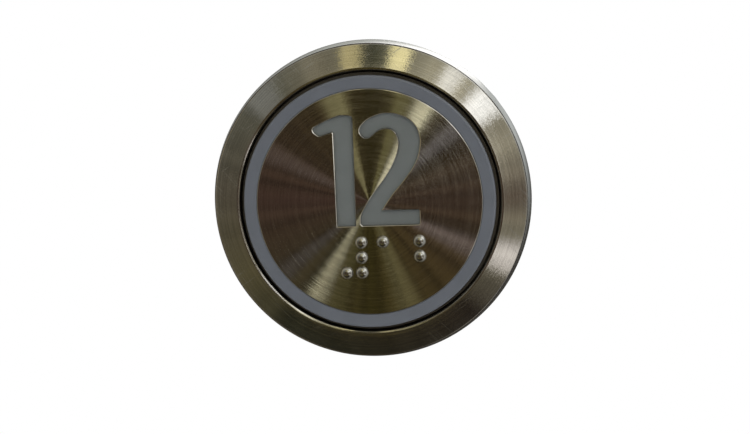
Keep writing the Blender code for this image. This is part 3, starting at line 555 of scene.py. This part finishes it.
def turned(name, profile, segments, centre=(0.0, 0.0), shape=None):
    """Return the mesh of a shape turned about the button's axis, or one parallel to it.

    A shape function may change a vertex's radius: it gets the radius, height and turn.
    """
    shell = bmesh.new()
    on_axis = profile[0][0] == 0.0 and profile[-1][0] == 0.0
    rings = []
    for radius, height in profile:
        if radius == 0.0:
            point = shell.verts.new((centre[0] * MM, -height * MM, centre[1] * MM))
            rings.append([point] * segments)
            continue
        ring = []
        for step in range(segments):
            turn = step / segments
            reach = shape(radius, height, turn) if shape else radius
            x, z = polar(reach, 360.0 * turn)
            ring.append(shell.verts.new(((centre[0] + x) * MM, -height * MM,
                                         (centre[1] + z) * MM)))
        rings.append(ring)
    pairs = list(zip(rings, rings[1:]))
    if not on_axis:
        pairs.append((rings[-1], rings[0]))
    for upper, painted_shade in pairs:
        for step in range(segments):
            after = (step + 1) % segments
            corners = [upper[step], upper[after], painted_shade[after], painted_shade[step]]
            shell.faces.new(list(dict.fromkeys(corners)))
    bmesh.ops.recalc_face_normals(shell, faces=shell.faces)
    mesh = bpy.data.meshes.new(name)
    shell.to_mesh(mesh)
    shell.free()
    return mesh


def evaluated_mesh(item):
    """Return a mesh of an object as its modifiers or its curve settings leave it."""
    bpy.context.view_layer.update()
    graph = bpy.context.evaluated_depsgraph_get()
    return bpy.data.meshes.new_from_object(item.evaluated_get(graph))


def weld(mesh):
    """Join the loose caps and sides that a curve leaves."""
    shell = bmesh.new()
    shell.from_mesh(mesh)
    bmesh.ops.remove_doubles(shell, verts=shell.verts, dist=SAME_POINT * MM)
    bmesh.ops.recalc_face_normals(shell, faces=shell.faces)
    shell.to_mesh(mesh)
    shell.free()


def rods(items, segments):
    """Return the mesh of separate rods along the axis: (x, y), radius, back and front height."""
    shell = bmesh.new()
    upright = Matrix.Rotation(math.radians(90.0), 4, 'X')
    for (x, y), radius, back, front in items:
        shift = Matrix.Translation((x * MM, -(back + front) / 2 * MM, y * MM))
        bmesh.ops.create_cone(shell, cap_ends=True, segments=segments, radius1=radius * MM,
                              radius2=radius * MM, depth=(front - back) * MM,
                              matrix=shift @ upright)
    mesh = bpy.data.meshes.new("rods")
    shell.to_mesh(mesh)
    shell.free()
    return mesh


def blocks(items):
    """Return the mesh of separate blocks: (x, y), turn, (width, height), back and front height."""
    shell = bmesh.new()
    for (x, y), turn, (width, height), back, front in items:
        place = (Matrix.Rotation(-math.radians(turn), 4, 'Y')
                 @ Matrix.Translation((x * MM, -(back + front) / 2 * MM, y * MM)))
        size = Matrix.Diagonal((width * MM, (front - back) * MM, height * MM, 1.0))
        bmesh.ops.create_cube(shell, size=1.0, matrix=place @ size)
    mesh = bpy.data.meshes.new("blocks")
    shell.to_mesh(mesh)
    shell.free()
    return mesh


def combined(mesh, helpers):
    """Return a mesh with each (operation, helper mesh) cut out of it or joined on."""
    body = bpy.data.objects.new("body", mesh)
    bpy.context.scene.collection.objects.link(body)
    cutters = []
    for operation, helper in helpers:
        cutter = bpy.data.objects.new("cutter", helper)
        bpy.context.scene.collection.objects.link(cutter)
        boolean = body.modifiers.new("combine", 'BOOLEAN')
        boolean.object = cutter
        boolean.operation = operation
        cutters.append(cutter)
    result = evaluated_mesh(body)
    for item in [body] + cutters:
        bpy.data.objects.remove(item, do_unlink=True)
    return result


def flat_plate(name, outlines, bottom, top, edge, inset=0.0, steps=2):
    """Return the mesh of a flat piece with softened edges, standing in the button's plane."""
    curve = bpy.data.curves.new(name, 'CURVE')
    curve.dimensions = '2D'
    curve.fill_mode = 'BOTH'
    curve.extrude = ((top - bottom) / 2 - edge) * MM
    curve.bevel_depth = edge * MM
    curve.bevel_resolution = steps
    curve.offset = -(edge + inset) * MM
    curve.resolution_u = NUMERAL_RESOLUTION
    for outline in outlines:
        if len(outline[0]) == 3:
            spline = curve.splines.new('BEZIER')
            spline.bezier_points.add(len(outline) - 1)
            for point, (x, y, corner) in zip(spline.bezier_points, outline):
                point.co = (x * MM, y * MM, 0.0)
                handle = 'VECTOR' if corner else 'AUTO'
                point.handle_left_type = handle
                point.handle_right_type = handle
        else:
            spline = curve.splines.new('POLY')
            spline.points.add(len(outline) - 1)
            for point, (x, y) in zip(spline.points, outline):
                point.co = (x * MM, y * MM, 0.0, 1.0)
        spline.use_cyclic_u = True
    item = bpy.data.objects.new(name, curve)
    bpy.context.scene.collection.objects.link(item)
    mesh = evaluated_mesh(item)
    bpy.data.objects.remove(item, do_unlink=True)
    upright = Matrix.Rotation(math.radians(90.0), 4, 'X')
    lift = Matrix.Translation((0.0, 0.0, (top + bottom) / 2 * MM))
    mesh.transform(upright @ lift)
    weld(mesh)
    return mesh


# ---------------------------------------------------------------- front pieces

def make_bezel():
    """Coned ring with small rounds on its edges."""
    groove_in, groove_out, groove_depth = GASKET_GROOVE
    seat_z = BARREL_FRONT_Z + SEAT_GAP
    cone = [
        (LIP_R, CONE_TOP_Z - LIP_CHAMFER), LIP_FACET, (CONE_TOP_R, CONE_TOP_Z),
        (BEZEL_FRONT_R - RIM_FACET, RIM_HEIGHT + 0.18), (BEZEL_FRONT_R, RIM_HEIGHT - 0.08),
        (BEZEL_REAR_R, 0.0),
    ]
    rear = [
        (groove_out, 0.0), (groove_out, groove_depth), (groove_in, groove_depth),
        (groove_in, 0.0), (BARREL_R + SEAT_GAP, 0.0), (BARREL_R + SEAT_GAP, seat_z),
        (BORE_R - SEAT_GAP, seat_z), (BORE_R - SEAT_GAP, SHOULDER_Z), (LIP_R, SHOULDER_Z),
    ]
    profile = softened(cone + rear, 0.06)
    piece = add_object("bezel_ring", turned("bezel_ring", profile, FINE_SEGMENTS),
                       "fixed_body", "brushed_stainless", look="coned_stainless")
    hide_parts("bezel")


def thread_shape(radius, height, turn):
    """Return the barrel's radius with its right-hand thread, run out at both ends."""
    top, bottom = THREAD_SPAN
    if radius < BARREL_R - 0.01 or not bottom < height < top:
        return radius
    phase = (-height / THREAD_PITCH + turn) % 1.0
    groove = 1.0 - abs(2.0 * phase - 1.0)
    groove = min(1.0, max(0.0, 1.25 * groove - 0.12))
    fade = min(1.0, (top - height) / THREAD_PITCH, (height - bottom) / (0.5 * THREAD_PITCH))
    return radius - THREAD_DEPTH * groove * fade


def make_barrel():
    """Threaded sleeve with its circlip groove, and the locating key at the top."""
    groove_r, groove_top, groove_bottom = CIRCLIP_GROOVE
    top, bottom = THREAD_SPAN
    rows = int((top - bottom) / THREAD_PITCH * THREAD_ROWS)
    profile = [(BARREL_R - 0.1, BARREL_FRONT_Z), (BARREL_R, BARREL_FRONT_Z - 0.1)]
    profile += [(BARREL_R, top + (bottom - top) * row / rows) for row in range(rows + 1)]
    profile += [
        (BARREL_R - 0.45, BARREL_END_Z), (BORE_R + 0.15, BARREL_END_Z),
        (BORE_R, BARREL_END_Z + 0.15), (BORE_R, groove_bottom), (groove_r, groove_bottom),
        (groove_r, groove_top), (BORE_R, groove_top), (BORE_R, BARREL_FRONT_Z),
    ]
    mesh = turned("barrel_sleeve", profile, MEDIUM_SEGMENTS, shape=thread_shape)
    piece = add_object("barrel_sleeve", mesh, "fixed_body", "nickel_plate", 40.0)
    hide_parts("barrel")
    width, depth, length = KEY_SIZE
    shell = bmesh.new()
    bmesh.ops.create_cube(shell, size=1.0)
    mesh = bpy.data.meshes.new("barrel_key")
    shell.to_mesh(mesh)
    shell.free()
    key_z = BARREL_R + KEY_REACH - depth / 2
    place = Matrix.Translation((0.0, (SEAT_GAP + length / 2) * MM, key_z * MM))
    mesh.transform(place @ Matrix.Diagonal((width * MM, length * MM, depth * MM, 1.0)))
    key = add_object("barrel_key", mesh, "fixed_body", "nickel_plate")
    bevel = key.modifiers.new("Bevel", 'BEVEL')
    bevel.width = 0.15 * MM
    bevel.segments = 2


def braille_centres():
    """Return the centre of each raised dot, cell by cell and down each column."""
    centres = []
    for cell, dots in enumerate(BRAILLE_CELLS):
        for dot in dots:
            column = (dot - 1) // 3
            row = (dot - 1) % 3
            x = BRAILLE_LEFT + cell * BRAILLE_CELL_PITCH + column * BRAILLE_DOT_PITCH
            centres.append((x, BRAILLE_TOP - row * BRAILLE_DOT_PITCH))
    return centres


def make_face_plate():
    """Stainless disc with a round on its rim, and the numerals cut through and chamfered."""
    outlines = [circle(PLATE_R + CUT_PAST, FINE_SEGMENTS), DIGIT_ONE, DIGIT_TWO]
    for centre in braille_centres():
        outlines.append(circle(PIN_HOLE_R, 24, centre))
    back = PLATE_FRONT_Z - PLATE_THICKNESS
    sheet = flat_plate("face_disc", outlines, back, PLATE_FRONT_Z, PLATE_CHAMFER, steps=0)
    rim = [(0.0, PLATE_FRONT_Z + CUT_PAST), (PLATE_R - PLATE_EDGE, PLATE_FRONT_Z + CUT_PAST)]
    for step in range(ROUND_STEPS + 1):
        ahead, aside = polar(PLATE_EDGE, 90.0 - 90.0 * step / ROUND_STEPS)
        rim.append((PLATE_R - PLATE_EDGE + ahead, PLATE_FRONT_Z - PLATE_EDGE + aside))
    rim += [(PLATE_R, back - CUT_PAST), (0.0, back - CUT_PAST)]
    mesh = combined(sheet, [('INTERSECT', turned("rim", rim, FINE_SEGMENTS))])
    piece = add_object("face_disc", mesh, "pressel", "brushed_stainless")
    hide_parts("face_plate")


def make_diffuser():
    """Opal body with its halo ring, and the windows that stand in the numerals' openings."""
    wall_back = POCKET_FLOOR_Z - FRONT_WALL
    flange_front, flange_back = FLANGE_Z
    profile = [
        (0.0, POCKET_FLOOR_Z), (POCKET_R, POCKET_FLOOR_Z),
        (POCKET_R, HALO_FRONT_Z - POCKET_EDGE), (POCKET_R + POCKET_EDGE, HALO_FRONT_Z),
    ]
    for step in range(HALO_STEPS + 1):
        ahead, aside = polar(HALO_EDGE, 90.0 - 90.0 * step / HALO_STEPS)
        profile.append((HALO_R - HALO_EDGE + ahead, HALO_FRONT_Z - HALO_EDGE + aside))
    profile += [
        (HALO_R, LEDGE_Z), (LEDGE_R - 0.06, LEDGE_Z), (LEDGE_R, LEDGE_Z - 0.06),
        (LEDGE_R, flange_front), (FLANGE_R - 0.1, flange_front), (FLANGE_R, flange_front - 0.1),
        (FLANGE_R, flange_back + 0.1), (FLANGE_R - 0.1, flange_back),
        (SKIRT_INNER_R, flange_back), (SKIRT_INNER_R, wall_back), (0.0, wall_back),
    ]
    mesh = turned("halo_diffuser", profile, FINE_SEGMENTS)
    boss_r, hole_r, boss_back, hole_front = DIFFUSER_BOSS
    spots = [polar(STATION_R, angle) for angle in SCREW_ANGLES]
    bosses = [(spot, boss_r, boss_back, wall_back + FRONT_WALL / 2) for spot in spots]
    holes = [(spot, hole_r, boss_back - CUT_PAST, hole_front) for spot in spots]
    holes += [(centre, PIN_HOLE_R, PIN_HOLE_Z, HALO_FRONT_Z) for centre in braille_centres()]
    mesh = combined(mesh, [('UNION', rods(bosses, SMALL_SEGMENTS)),
                           ('DIFFERENCE', rods(holes, HOLE_SEGMENTS))])
    piece = add_object("halo_diffuser", mesh, "pressel", "opal_plastic")
    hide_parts("diffuser")
    for label, digit in (("one", DIGIT_ONE), ("two", DIGIT_TWO)):
        name = f"numeral_window_{label}"
        mesh = flat_plate(name, [digit], POCKET_FLOOR_Z, NUMERAL_FRONT_Z, 0.04, NUMERAL_INSET)
        add_object(name, mesh, "pressel", "opal_plastic", look="numeral_opal")


def make_braille_pins():
    """Polished domes on shanks."""
    base = PLATE_FRONT_Z + SEAT_GAP
    inward, sunk = PIN_UNDERCUT
    for number, centre in enumerate(braille_centres(), start=1):
        profile = []
        for step in range(PIN_DOME_STEPS + 1):
            x, y = polar(1.0, 90.0 - 90.0 * step / PIN_DOME_STEPS)
            aside = 0.0 if step == 0 else PIN_DOME_R * x
            profile.append((aside, base + PIN_DOME_HEIGHT * y))
        profile += [(PIN_DOME_R - inward, base - sunk), (PIN_SHANK_R, base - sunk),
                    (PIN_SHANK_R, PIN_TIP_Z), (0.0, PIN_TIP_Z)]
        name = f"braille_dome_{number}"
        piece = add_object(name, turned(name, profile, SMALL_SEGMENTS, centre), "pressel",
                           "polished_stainless", 50.0)
        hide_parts(f"braille_pin_{number}")


make_bezel()
make_barrel()
make_face_plate()
make_diffuser()
make_braille_pins()


# ---------------------------------------------------------------- springs

def make_springs():
    """Return springs with closed ends."""
    low, high = SPRING_Z
    total = SPRING_TURNS + 2 * SPRING_CLOSED_TURNS
    closed = 2.1 * SPRING_WIRE_R * SPRING_CLOSED_TURNS
    for number, angle in enumerate(SPRING_ANGLES, start=1):
        centre = polar(STATION_R, angle)
        curve = bpy.data.curves.new("wire", 'CURVE')
        curve.dimensions = '3D'
        curve.bevel_depth = SPRING_WIRE_R * MM
        curve.bevel_resolution = 3
        curve.use_fill_caps = True
        spline = curve.splines.new('POLY')
        count = int(total * SPRING_POINTS_PER_TURN) + 1
        spline.points.add(count - 1)
        for index, point in enumerate(spline.points):
            turn = index / SPRING_POINTS_PER_TURN
            x, z = polar(SPRING_R, 360.0 * turn)
            open_share = (turn - SPRING_CLOSED_TURNS) / SPRING_TURNS
            if open_share <= 0.0:
                height = low + closed * turn / SPRING_CLOSED_TURNS
            elif open_share >= 1.0:
                last = (total - turn) / SPRING_CLOSED_TURNS
                height = high - closed * last
            else:
                height = low + closed + (high - low - 2 * closed) * open_share
            point.co = ((centre[0] + x) * MM, -height * MM, (centre[1] + z) * MM, 1.0)
        item = bpy.data.objects.new("wire", curve)
        bpy.context.scene.collection.objects.link(item)
        mesh = evaluated_mesh(item)
        bpy.data.objects.remove(item, do_unlink=True)
        weld(mesh)
        node = f"return_spring_{number}"
        piece = add_object(f"coil_spring_{number}", mesh, "fixed_body", "spring_steel", 60.0)
        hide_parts(node)
        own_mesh(piece)


make_springs()


# ---------------------------------------------------------------- carried-over pieces

EDGES = {
    "lock_nut": 0.15, "clamp_washer": 0.12, "circlip": 0.1, "rear_housing": 0.1,
    "header_shroud": 0.12, "inner_housing": 0.1, "carrier": 0.12, "circuit_board": 0.06,
    "microswitch_case": 0.15, "microswitch_plunger": 0.1, "panel_gasket": 0.15, "stop_ring": 0.1,
}
for prefix, count, width in (("case_screw_", 3, 0.08), ("carrier_screw_", 3, 0.1),
                             ("header_pin_", 4, 0.1), ("resistor_", 4, 0.08),
                             ("halo_lamp_", 8, 0.06), ("numeral_lamp_", 4, 0.06)):
    for number in range(1, count + 1):
        EDGES[f"{prefix}{number}"] = width


def rear_details():
    """Return what the rear cover's back carries: ridge, ribs, collars, border and marks."""
    root = REAR_BACK_Z + REAR_ROOT
    inner, outer = REAR_RIDGE_R
    ridge = [(inner, root), (outer, root), (outer, REAR_RIDGE_Z), (inner, REAR_RIDGE_Z)]
    helpers = [('UNION', turned("ridge", ridge, MEDIUM_SEGMENTS))]
    ribs = []
    for angle, start in REAR_RIBS:
        end = (inner + outer) / 2
        ribs.append((((start + end) / 2, 0.0), angle, (end - start, REAR_RIB_WIDTH),
                     REAR_RIDGE_Z, root))
    helpers.append(('UNION', blocks(ribs)))
    width, height = HEADER_WINDOW
    border = (width + 2 * HEADER_BORDER, height + 2 * HEADER_BORDER)
    centre = (0.0, 0.0)
    helpers.append(('UNION', blocks([(centre, 0.0, border, HEADER_BORDER_Z, root)])))
    through = (centre, 0.0, HEADER_WINDOW, HEADER_BORDER_Z - CUT_PAST, root + CUT_PAST)
    helpers.append(('DIFFERENCE', blocks([through])))
    inner, outer = REAR_COLLAR_R
    collar = [(inner, root), (outer, root), (outer, REAR_COLLAR_Z), (inner, REAR_COLLAR_Z)]
    for angle in SCREW_ANGLES:
        spot = polar(REAR_SCREW_STATION_R, angle)
        helpers.append(('UNION', turned("collar", collar, SMALL_SEGMENTS, spot)))
    top = REAR_BACK_Z + EJECTOR_MARK_DEPTH
    marks = [(polar(REAR_SCREW_STATION_R, angle), EJECTOR_MARK_R, REAR_BACK_Z - CUT_PAST, top)
             for angle in EJECTOR_ANGLES]
    helpers.append(('DIFFERENCE', rods(marks, HOLE_SEGMENTS)))
    spot, size, raised = PIN_ONE_MARK
    helpers.append(('UNION', rods([(spot, size, REAR_BACK_Z - raised, root)], 3)))
    return helpers


def soften_node(node, width, details=()):
    """Replace a CAD node by a copy of its mesh with details added and edges rounded."""
    source = frame["nodes"][node].data
    shell = bmesh.new()
    shell.from_mesh(source)
    bmesh.ops.remove_doubles(shell, verts=shell.verts, dist=SAME_POINT * MM)
    bmesh.ops.dissolve_limit(shell, angle_limit=math.radians(1.0), verts=shell.verts,
                             edges=shell.edges)
    bmesh.ops.recalc_face_normals(shell, faces=shell.faces)
    mesh = bpy.data.meshes.new(f"{node}_soft")
    shell.to_mesh(mesh)
    shell.free()
    if details:
        mesh = combined(mesh, details)
    slots = {entry["node"]: entry["material_slot"] for entry in frame["record"]["subparts"]}
    body = frame["nodes"][node]["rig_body"]
    piece = add_object(f"{node}_soft", mesh, body, slots[node], 35.0)
    bevel = piece.modifiers.new("Bevel", 'BEVEL')
    bevel.width = width * MM
    bevel.segments = 2
    bevel.limit_method = 'ANGLE'
    bevel.angle_limit = math.radians(32.0)
    bevel.harden_normals = True
    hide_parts(node)


for node, width in EDGES.items():
    soften_node(node, width, rear_details() if node == "rear_housing" else ())


# ---------------------------------------------------------------- floor, light and world

def make_floor():
    """Pale floor, well below the button."""
    shell = bmesh.new()
    bmesh.ops.create_circle(shell, cap_ends=True, segments=96, radius=0.34)
    mesh = bpy.data.meshes.new("floor")
    shell.to_mesh(mesh)
    shell.free()
    mesh.transform(Matrix.Translation((0.0, 0.0, -0.12)))
    mat, graph, shader = new_material("pale_floor")
    scaled, _, _, _ = position(graph)
    tone = graph.noise(scaled, 0.02, 3.0)
    graph.feed(shader.inputs["Base Color"],
               graph.mix(tone, (0.84, 0.85, 0.87, 1.0), (0.88, 0.89, 0.91, 1.0)))
    shader.inputs["Roughness"].default_value = 0.7
    mesh.materials.append(mat)
    floor = bpy.data.objects.new("floor", mesh)
    bpy.context.scene.collection.objects.link(floor)
    floor.visible_glossy = False


def srgb(red, green, blue):
    """Return a linear colour from a displayed one."""
    linear = []
    for part in (red, green, blue):
        share = part / 255.0
        value = share / 12.92 if share <= 0.04045 else ((share + 0.055) / 1.055) ** 2.4
        linear.append(value)
    return tuple(linear)


# What the steel reflects is a dim, warm room with a few lamps and pale panels in it. The layout
# is made up, but the colours are not. Those of the walls and the shelf are the photograph's
# colours by angle, as measuring scripts read them, thinned out, rounded and in places moved.
# Those of the other parts were set by comparing renders with the photograph.
#
# Each part of the room has its broad tones by angle, and its lamps: the middle, the half width
# and the colour of each. Angles go round the line of sight that the flat face mirrors, in
# degrees, 0 to the right and 90 upwards. The face sees the walls, the lip the trim, the cone the
# shelf, the chamfers and domes the border and the outside, and the rim's side the bench.
WALLS = (
    ((0, (50, 40, 30)), (90, (30, 25, 10)), (135, (50, 40, 30)), (180, (55, 40, 35)),
     (225, (50, 45, 30)), (270, (50, 45, 20)), (320, (55, 45, 25)), (360, (50, 40, 30))),
    ((60, 5, (205, 200, 170)), (40, 4, (95, 90, 90)), (72, 4, (105, 100, 65)),
     (110, 6, (115, 110, 80)), (335, 5, (95, 85, 80))),
)
SHELF = (
    ((0, (80, 70, 60)), (20, (125, 120, 105)), (65, (145, 140, 120)), (90, (60, 60, 45)),
     (115, (105, 100, 85)), (135, (80, 80, 70)), (180, (70, 65, 55)), (215, (75, 70, 50)),
     (235, (35, 35, 25)), (310, (35, 30, 25)), (345, (115, 110, 95)), (360, (80, 70, 60))),
    ((40, 6, (254, 254, 252)), (57, 4, (210, 208, 200)), (80, 4, (215, 205, 155)),
     (100, 4, (160, 150, 110)), (140, 6, (110, 110, 105)), (335, 6, (190, 185, 180))),
)
TRIM = (
    ((0, (150, 147, 138)), (90, (170, 162, 140)), (135, (92, 84, 62)), (180, (66, 62, 54)),
     (270, (105, 90, 50)), (320, (85, 80, 62)), (360, (150, 147, 138))),
    ((40, 25, (250, 246, 234)),),
)
BORDER = (
    ((0, (120, 122, 122)), (90, (150, 152, 150)), (180, (114, 114, 110)), (270, (30, 29, 27)),
     (360, (120, 122, 122))),
    ((45, 20, (172, 174, 172)),),
)
OUTSIDE = (
    ((0, (160, 158, 150)), (90, (124, 118, 100)), (180, (134, 122, 94)), (270, (86, 78, 58)),
     (360, (160, 158, 150))),
    ((45, 20, (238, 236, 228)),),
)
BENCH = (
    ((0, (160, 163, 163)), (140, (150, 152, 148)), (180, (110, 110, 106)), (225, (66, 64, 58)),
     (300, (48, 46, 42)), (335, (110, 112, 112)), (360, (160, 163, 163))),
    ((80, 32, (250, 250, 250)),),
)
CORE = (0.03, 0.027, 0.022, 1.0)
FLAG = (0.016, 0.015, 0.018, 1.0)
CLUTTER_SCALE = 9.0
CLUTTER_GAIN = (0.62, 1.45)
CLUTTER_ON_SHELF = 0.4

# How far off the line of sight each part of the room begins: from, and fully by, in degrees.
WALLS_FROM = (2, 7)
TRIM_FROM = (29, 30.5)
SHELF_FROM = (33, 35)
BORDER_FROM = (56, 64)
OUTSIDE_FROM = (70, 76)
FLAG_FROM = (93, 98)
BENCH_FROM = (112, 124)

# How much of the light the steel gives back, and how much the face sees of the opposite side.
STEEL_REFLECTS = 0.57
OPPOSITE_SHARE = 0.25


def angle_ramp(graph, turn, stops):
    """Return the colour of the surroundings at an angle round the line of sight."""
    marks = [(degrees / 360.0, srgb(*colour)) for degrees, colour in stops]
    return graph.ramp(turn, marks, 'LINEAR')


def room(graph, turn, part):
    """Return the colour of one part of the room: its tones, with the lamps over them."""
    tones, lamps = part
    colour = angle_ramp(graph, turn, tones)
    for middle, half, tint in lamps:
        ahead = graph.math('FRACT', graph.math('ADD', turn, 1.5 - middle / 360.0))
        apart = graph.math('ABSOLUTE', graph.math('SUBTRACT', ahead, 0.5))
        glow = graph.smooth(apart, 0.4 * half / 360.0, 1.6 * half / 360.0, 1.0, 0.0)
        colour = graph.mix(glow, colour, (*srgb(*tint), 1.0))
    return colour


def clutter(graph, turn):
    """Return the brightness of what stands about in the room, uneven by angle."""
    angle = graph.math('MULTIPLY', turn, 2 * math.pi)
    spot = graph.vector(graph.math('COSINE', angle), graph.math('SINE', angle), 0.0)
    return graph.smooth(graph.noise(spot, CLUTTER_SCALE, 2.0), 0.3, 0.7, *CLUTTER_GAIN)


def mirrored_sight():
    """Return the direction that the flat face mirrors the viewer into, and two across it."""
    azimuth = math.radians(VIEW_AZIMUTH)
    elevation = math.radians(VIEW_ELEVATION)
    sight = Vector((-math.sin(azimuth) * math.cos(elevation),
                    -math.cos(azimuth) * math.cos(elevation), -math.sin(elevation)))
    right = Vector((0.0, 0.0, 1.0)).cross(-sight).normalized() * -1.0
    up = right.cross(-sight).normalized()
    roll = math.radians(VIEW_ROLL)
    return (sight, right * math.cos(roll) - up * math.sin(roll),
            up * math.cos(roll) + right * math.sin(roll))


def make_world():
    """White behind the button; a dim room with lit bands in front of it, for the steel."""
    world = bpy.data.worlds.new("studio")
    world.use_nodes = True
    bpy.context.scene.world = world
    graph = Graph(world.node_tree)
    direction = graph.node("ShaderNodeTexCoord").outputs["Generated"]

    def along(axis):
        return graph.node("ShaderNodeVectorMath", {0: direction, 1: axis},
                          operation='DOT_PRODUCT').outputs["Value"]

    sight, right, up = mirrored_sight()
    turn = graph.math('DIVIDE', graph.math('ARCTAN2', along(up), along(right)), 2 * math.pi)
    turn = graph.math('FRACT', graph.math('ADD', turn, 1.0))
    spread = graph.math('ARCCOSINE', along(sight))

    def beyond(low, high):
        return graph.smooth(spread, math.radians(low), math.radians(high))

    across = graph.math('FRACT', graph.math('ADD', turn, 0.5))
    uneven = clutter(graph, turn)
    walls = graph.mix(OPPOSITE_SHARE, room(graph, turn, WALLS), room(graph, across, WALLS))
    parts = (
        (WALLS_FROM, graph.mix(1.0, walls, uneven, 'MULTIPLY')),
        (TRIM_FROM, room(graph, turn, TRIM)),
        (SHELF_FROM, graph.mix(CLUTTER_ON_SHELF, room(graph, turn, SHELF), uneven, 'MULTIPLY')),
        (BORDER_FROM, room(graph, turn, BORDER)),
        (OUTSIDE_FROM, room(graph, turn, OUTSIDE)),
        (FLAG_FROM, FLAG),
        (BENCH_FROM, room(graph, turn, BENCH)),
    )
    front = CORE
    for (low, high), part in parts:
        front = graph.mix(beyond(low, high), front, part)
    seen = graph.node("ShaderNodeLightPath").outputs["Is Camera Ray"]
    room_light = graph.node("ShaderNodeBackground", {0: front, 1: 1.0 / STEEL_REFLECTS})
    paper = graph.node("ShaderNodeBackground", {0: (1.0, 1.0, 1.0, 1.0), 1: 1.0})
    both = graph.node("ShaderNodeMixShader", {0: seen, 1: room_light.outputs[0],
                                              2: paper.outputs[0]})
    output = graph.node("ShaderNodeOutputWorld")
    graph.feed(output.inputs[0], both.outputs[0])


def area_light(name, place, size, power, colour=(1.0, 1.0, 1.0), glossy=True):
    """Add a soft light that points at the button."""
    data = bpy.data.lights.new(name, 'AREA')
    data.shape = 'DISK'
    data.size = size
    data.energy = power
    data.color = colour
    light = bpy.data.objects.new(name, data)
    bpy.context.scene.collection.objects.link(light)
    place = Vector(place)
    light.matrix_world = (Matrix.Translation(place)
                          @ (-place).to_track_quat('-Z', 'Y').to_matrix().to_4x4())
    light.visible_glossy = glossy


make_floor()
make_world()
area_light("key", (0.35, -0.55, 0.45), 0.25, 0.9, (1.0, 0.98, 0.94), glossy=False)
area_light("front", (0.04, -0.7, 0.06), 0.2, 0.34, glossy=False)
area_light("fill", (-0.5, -0.5, 0.1), 0.5, 0.6, (0.9, 0.95, 1.0), glossy=False)
area_light("back", (0.3, 0.7, 0.5), 0.5, 3.0, glossy=False)

scene = bpy.context.scene
scene.view_settings.view_transform = 'Standard'
scene.view_settings.look = 'None'
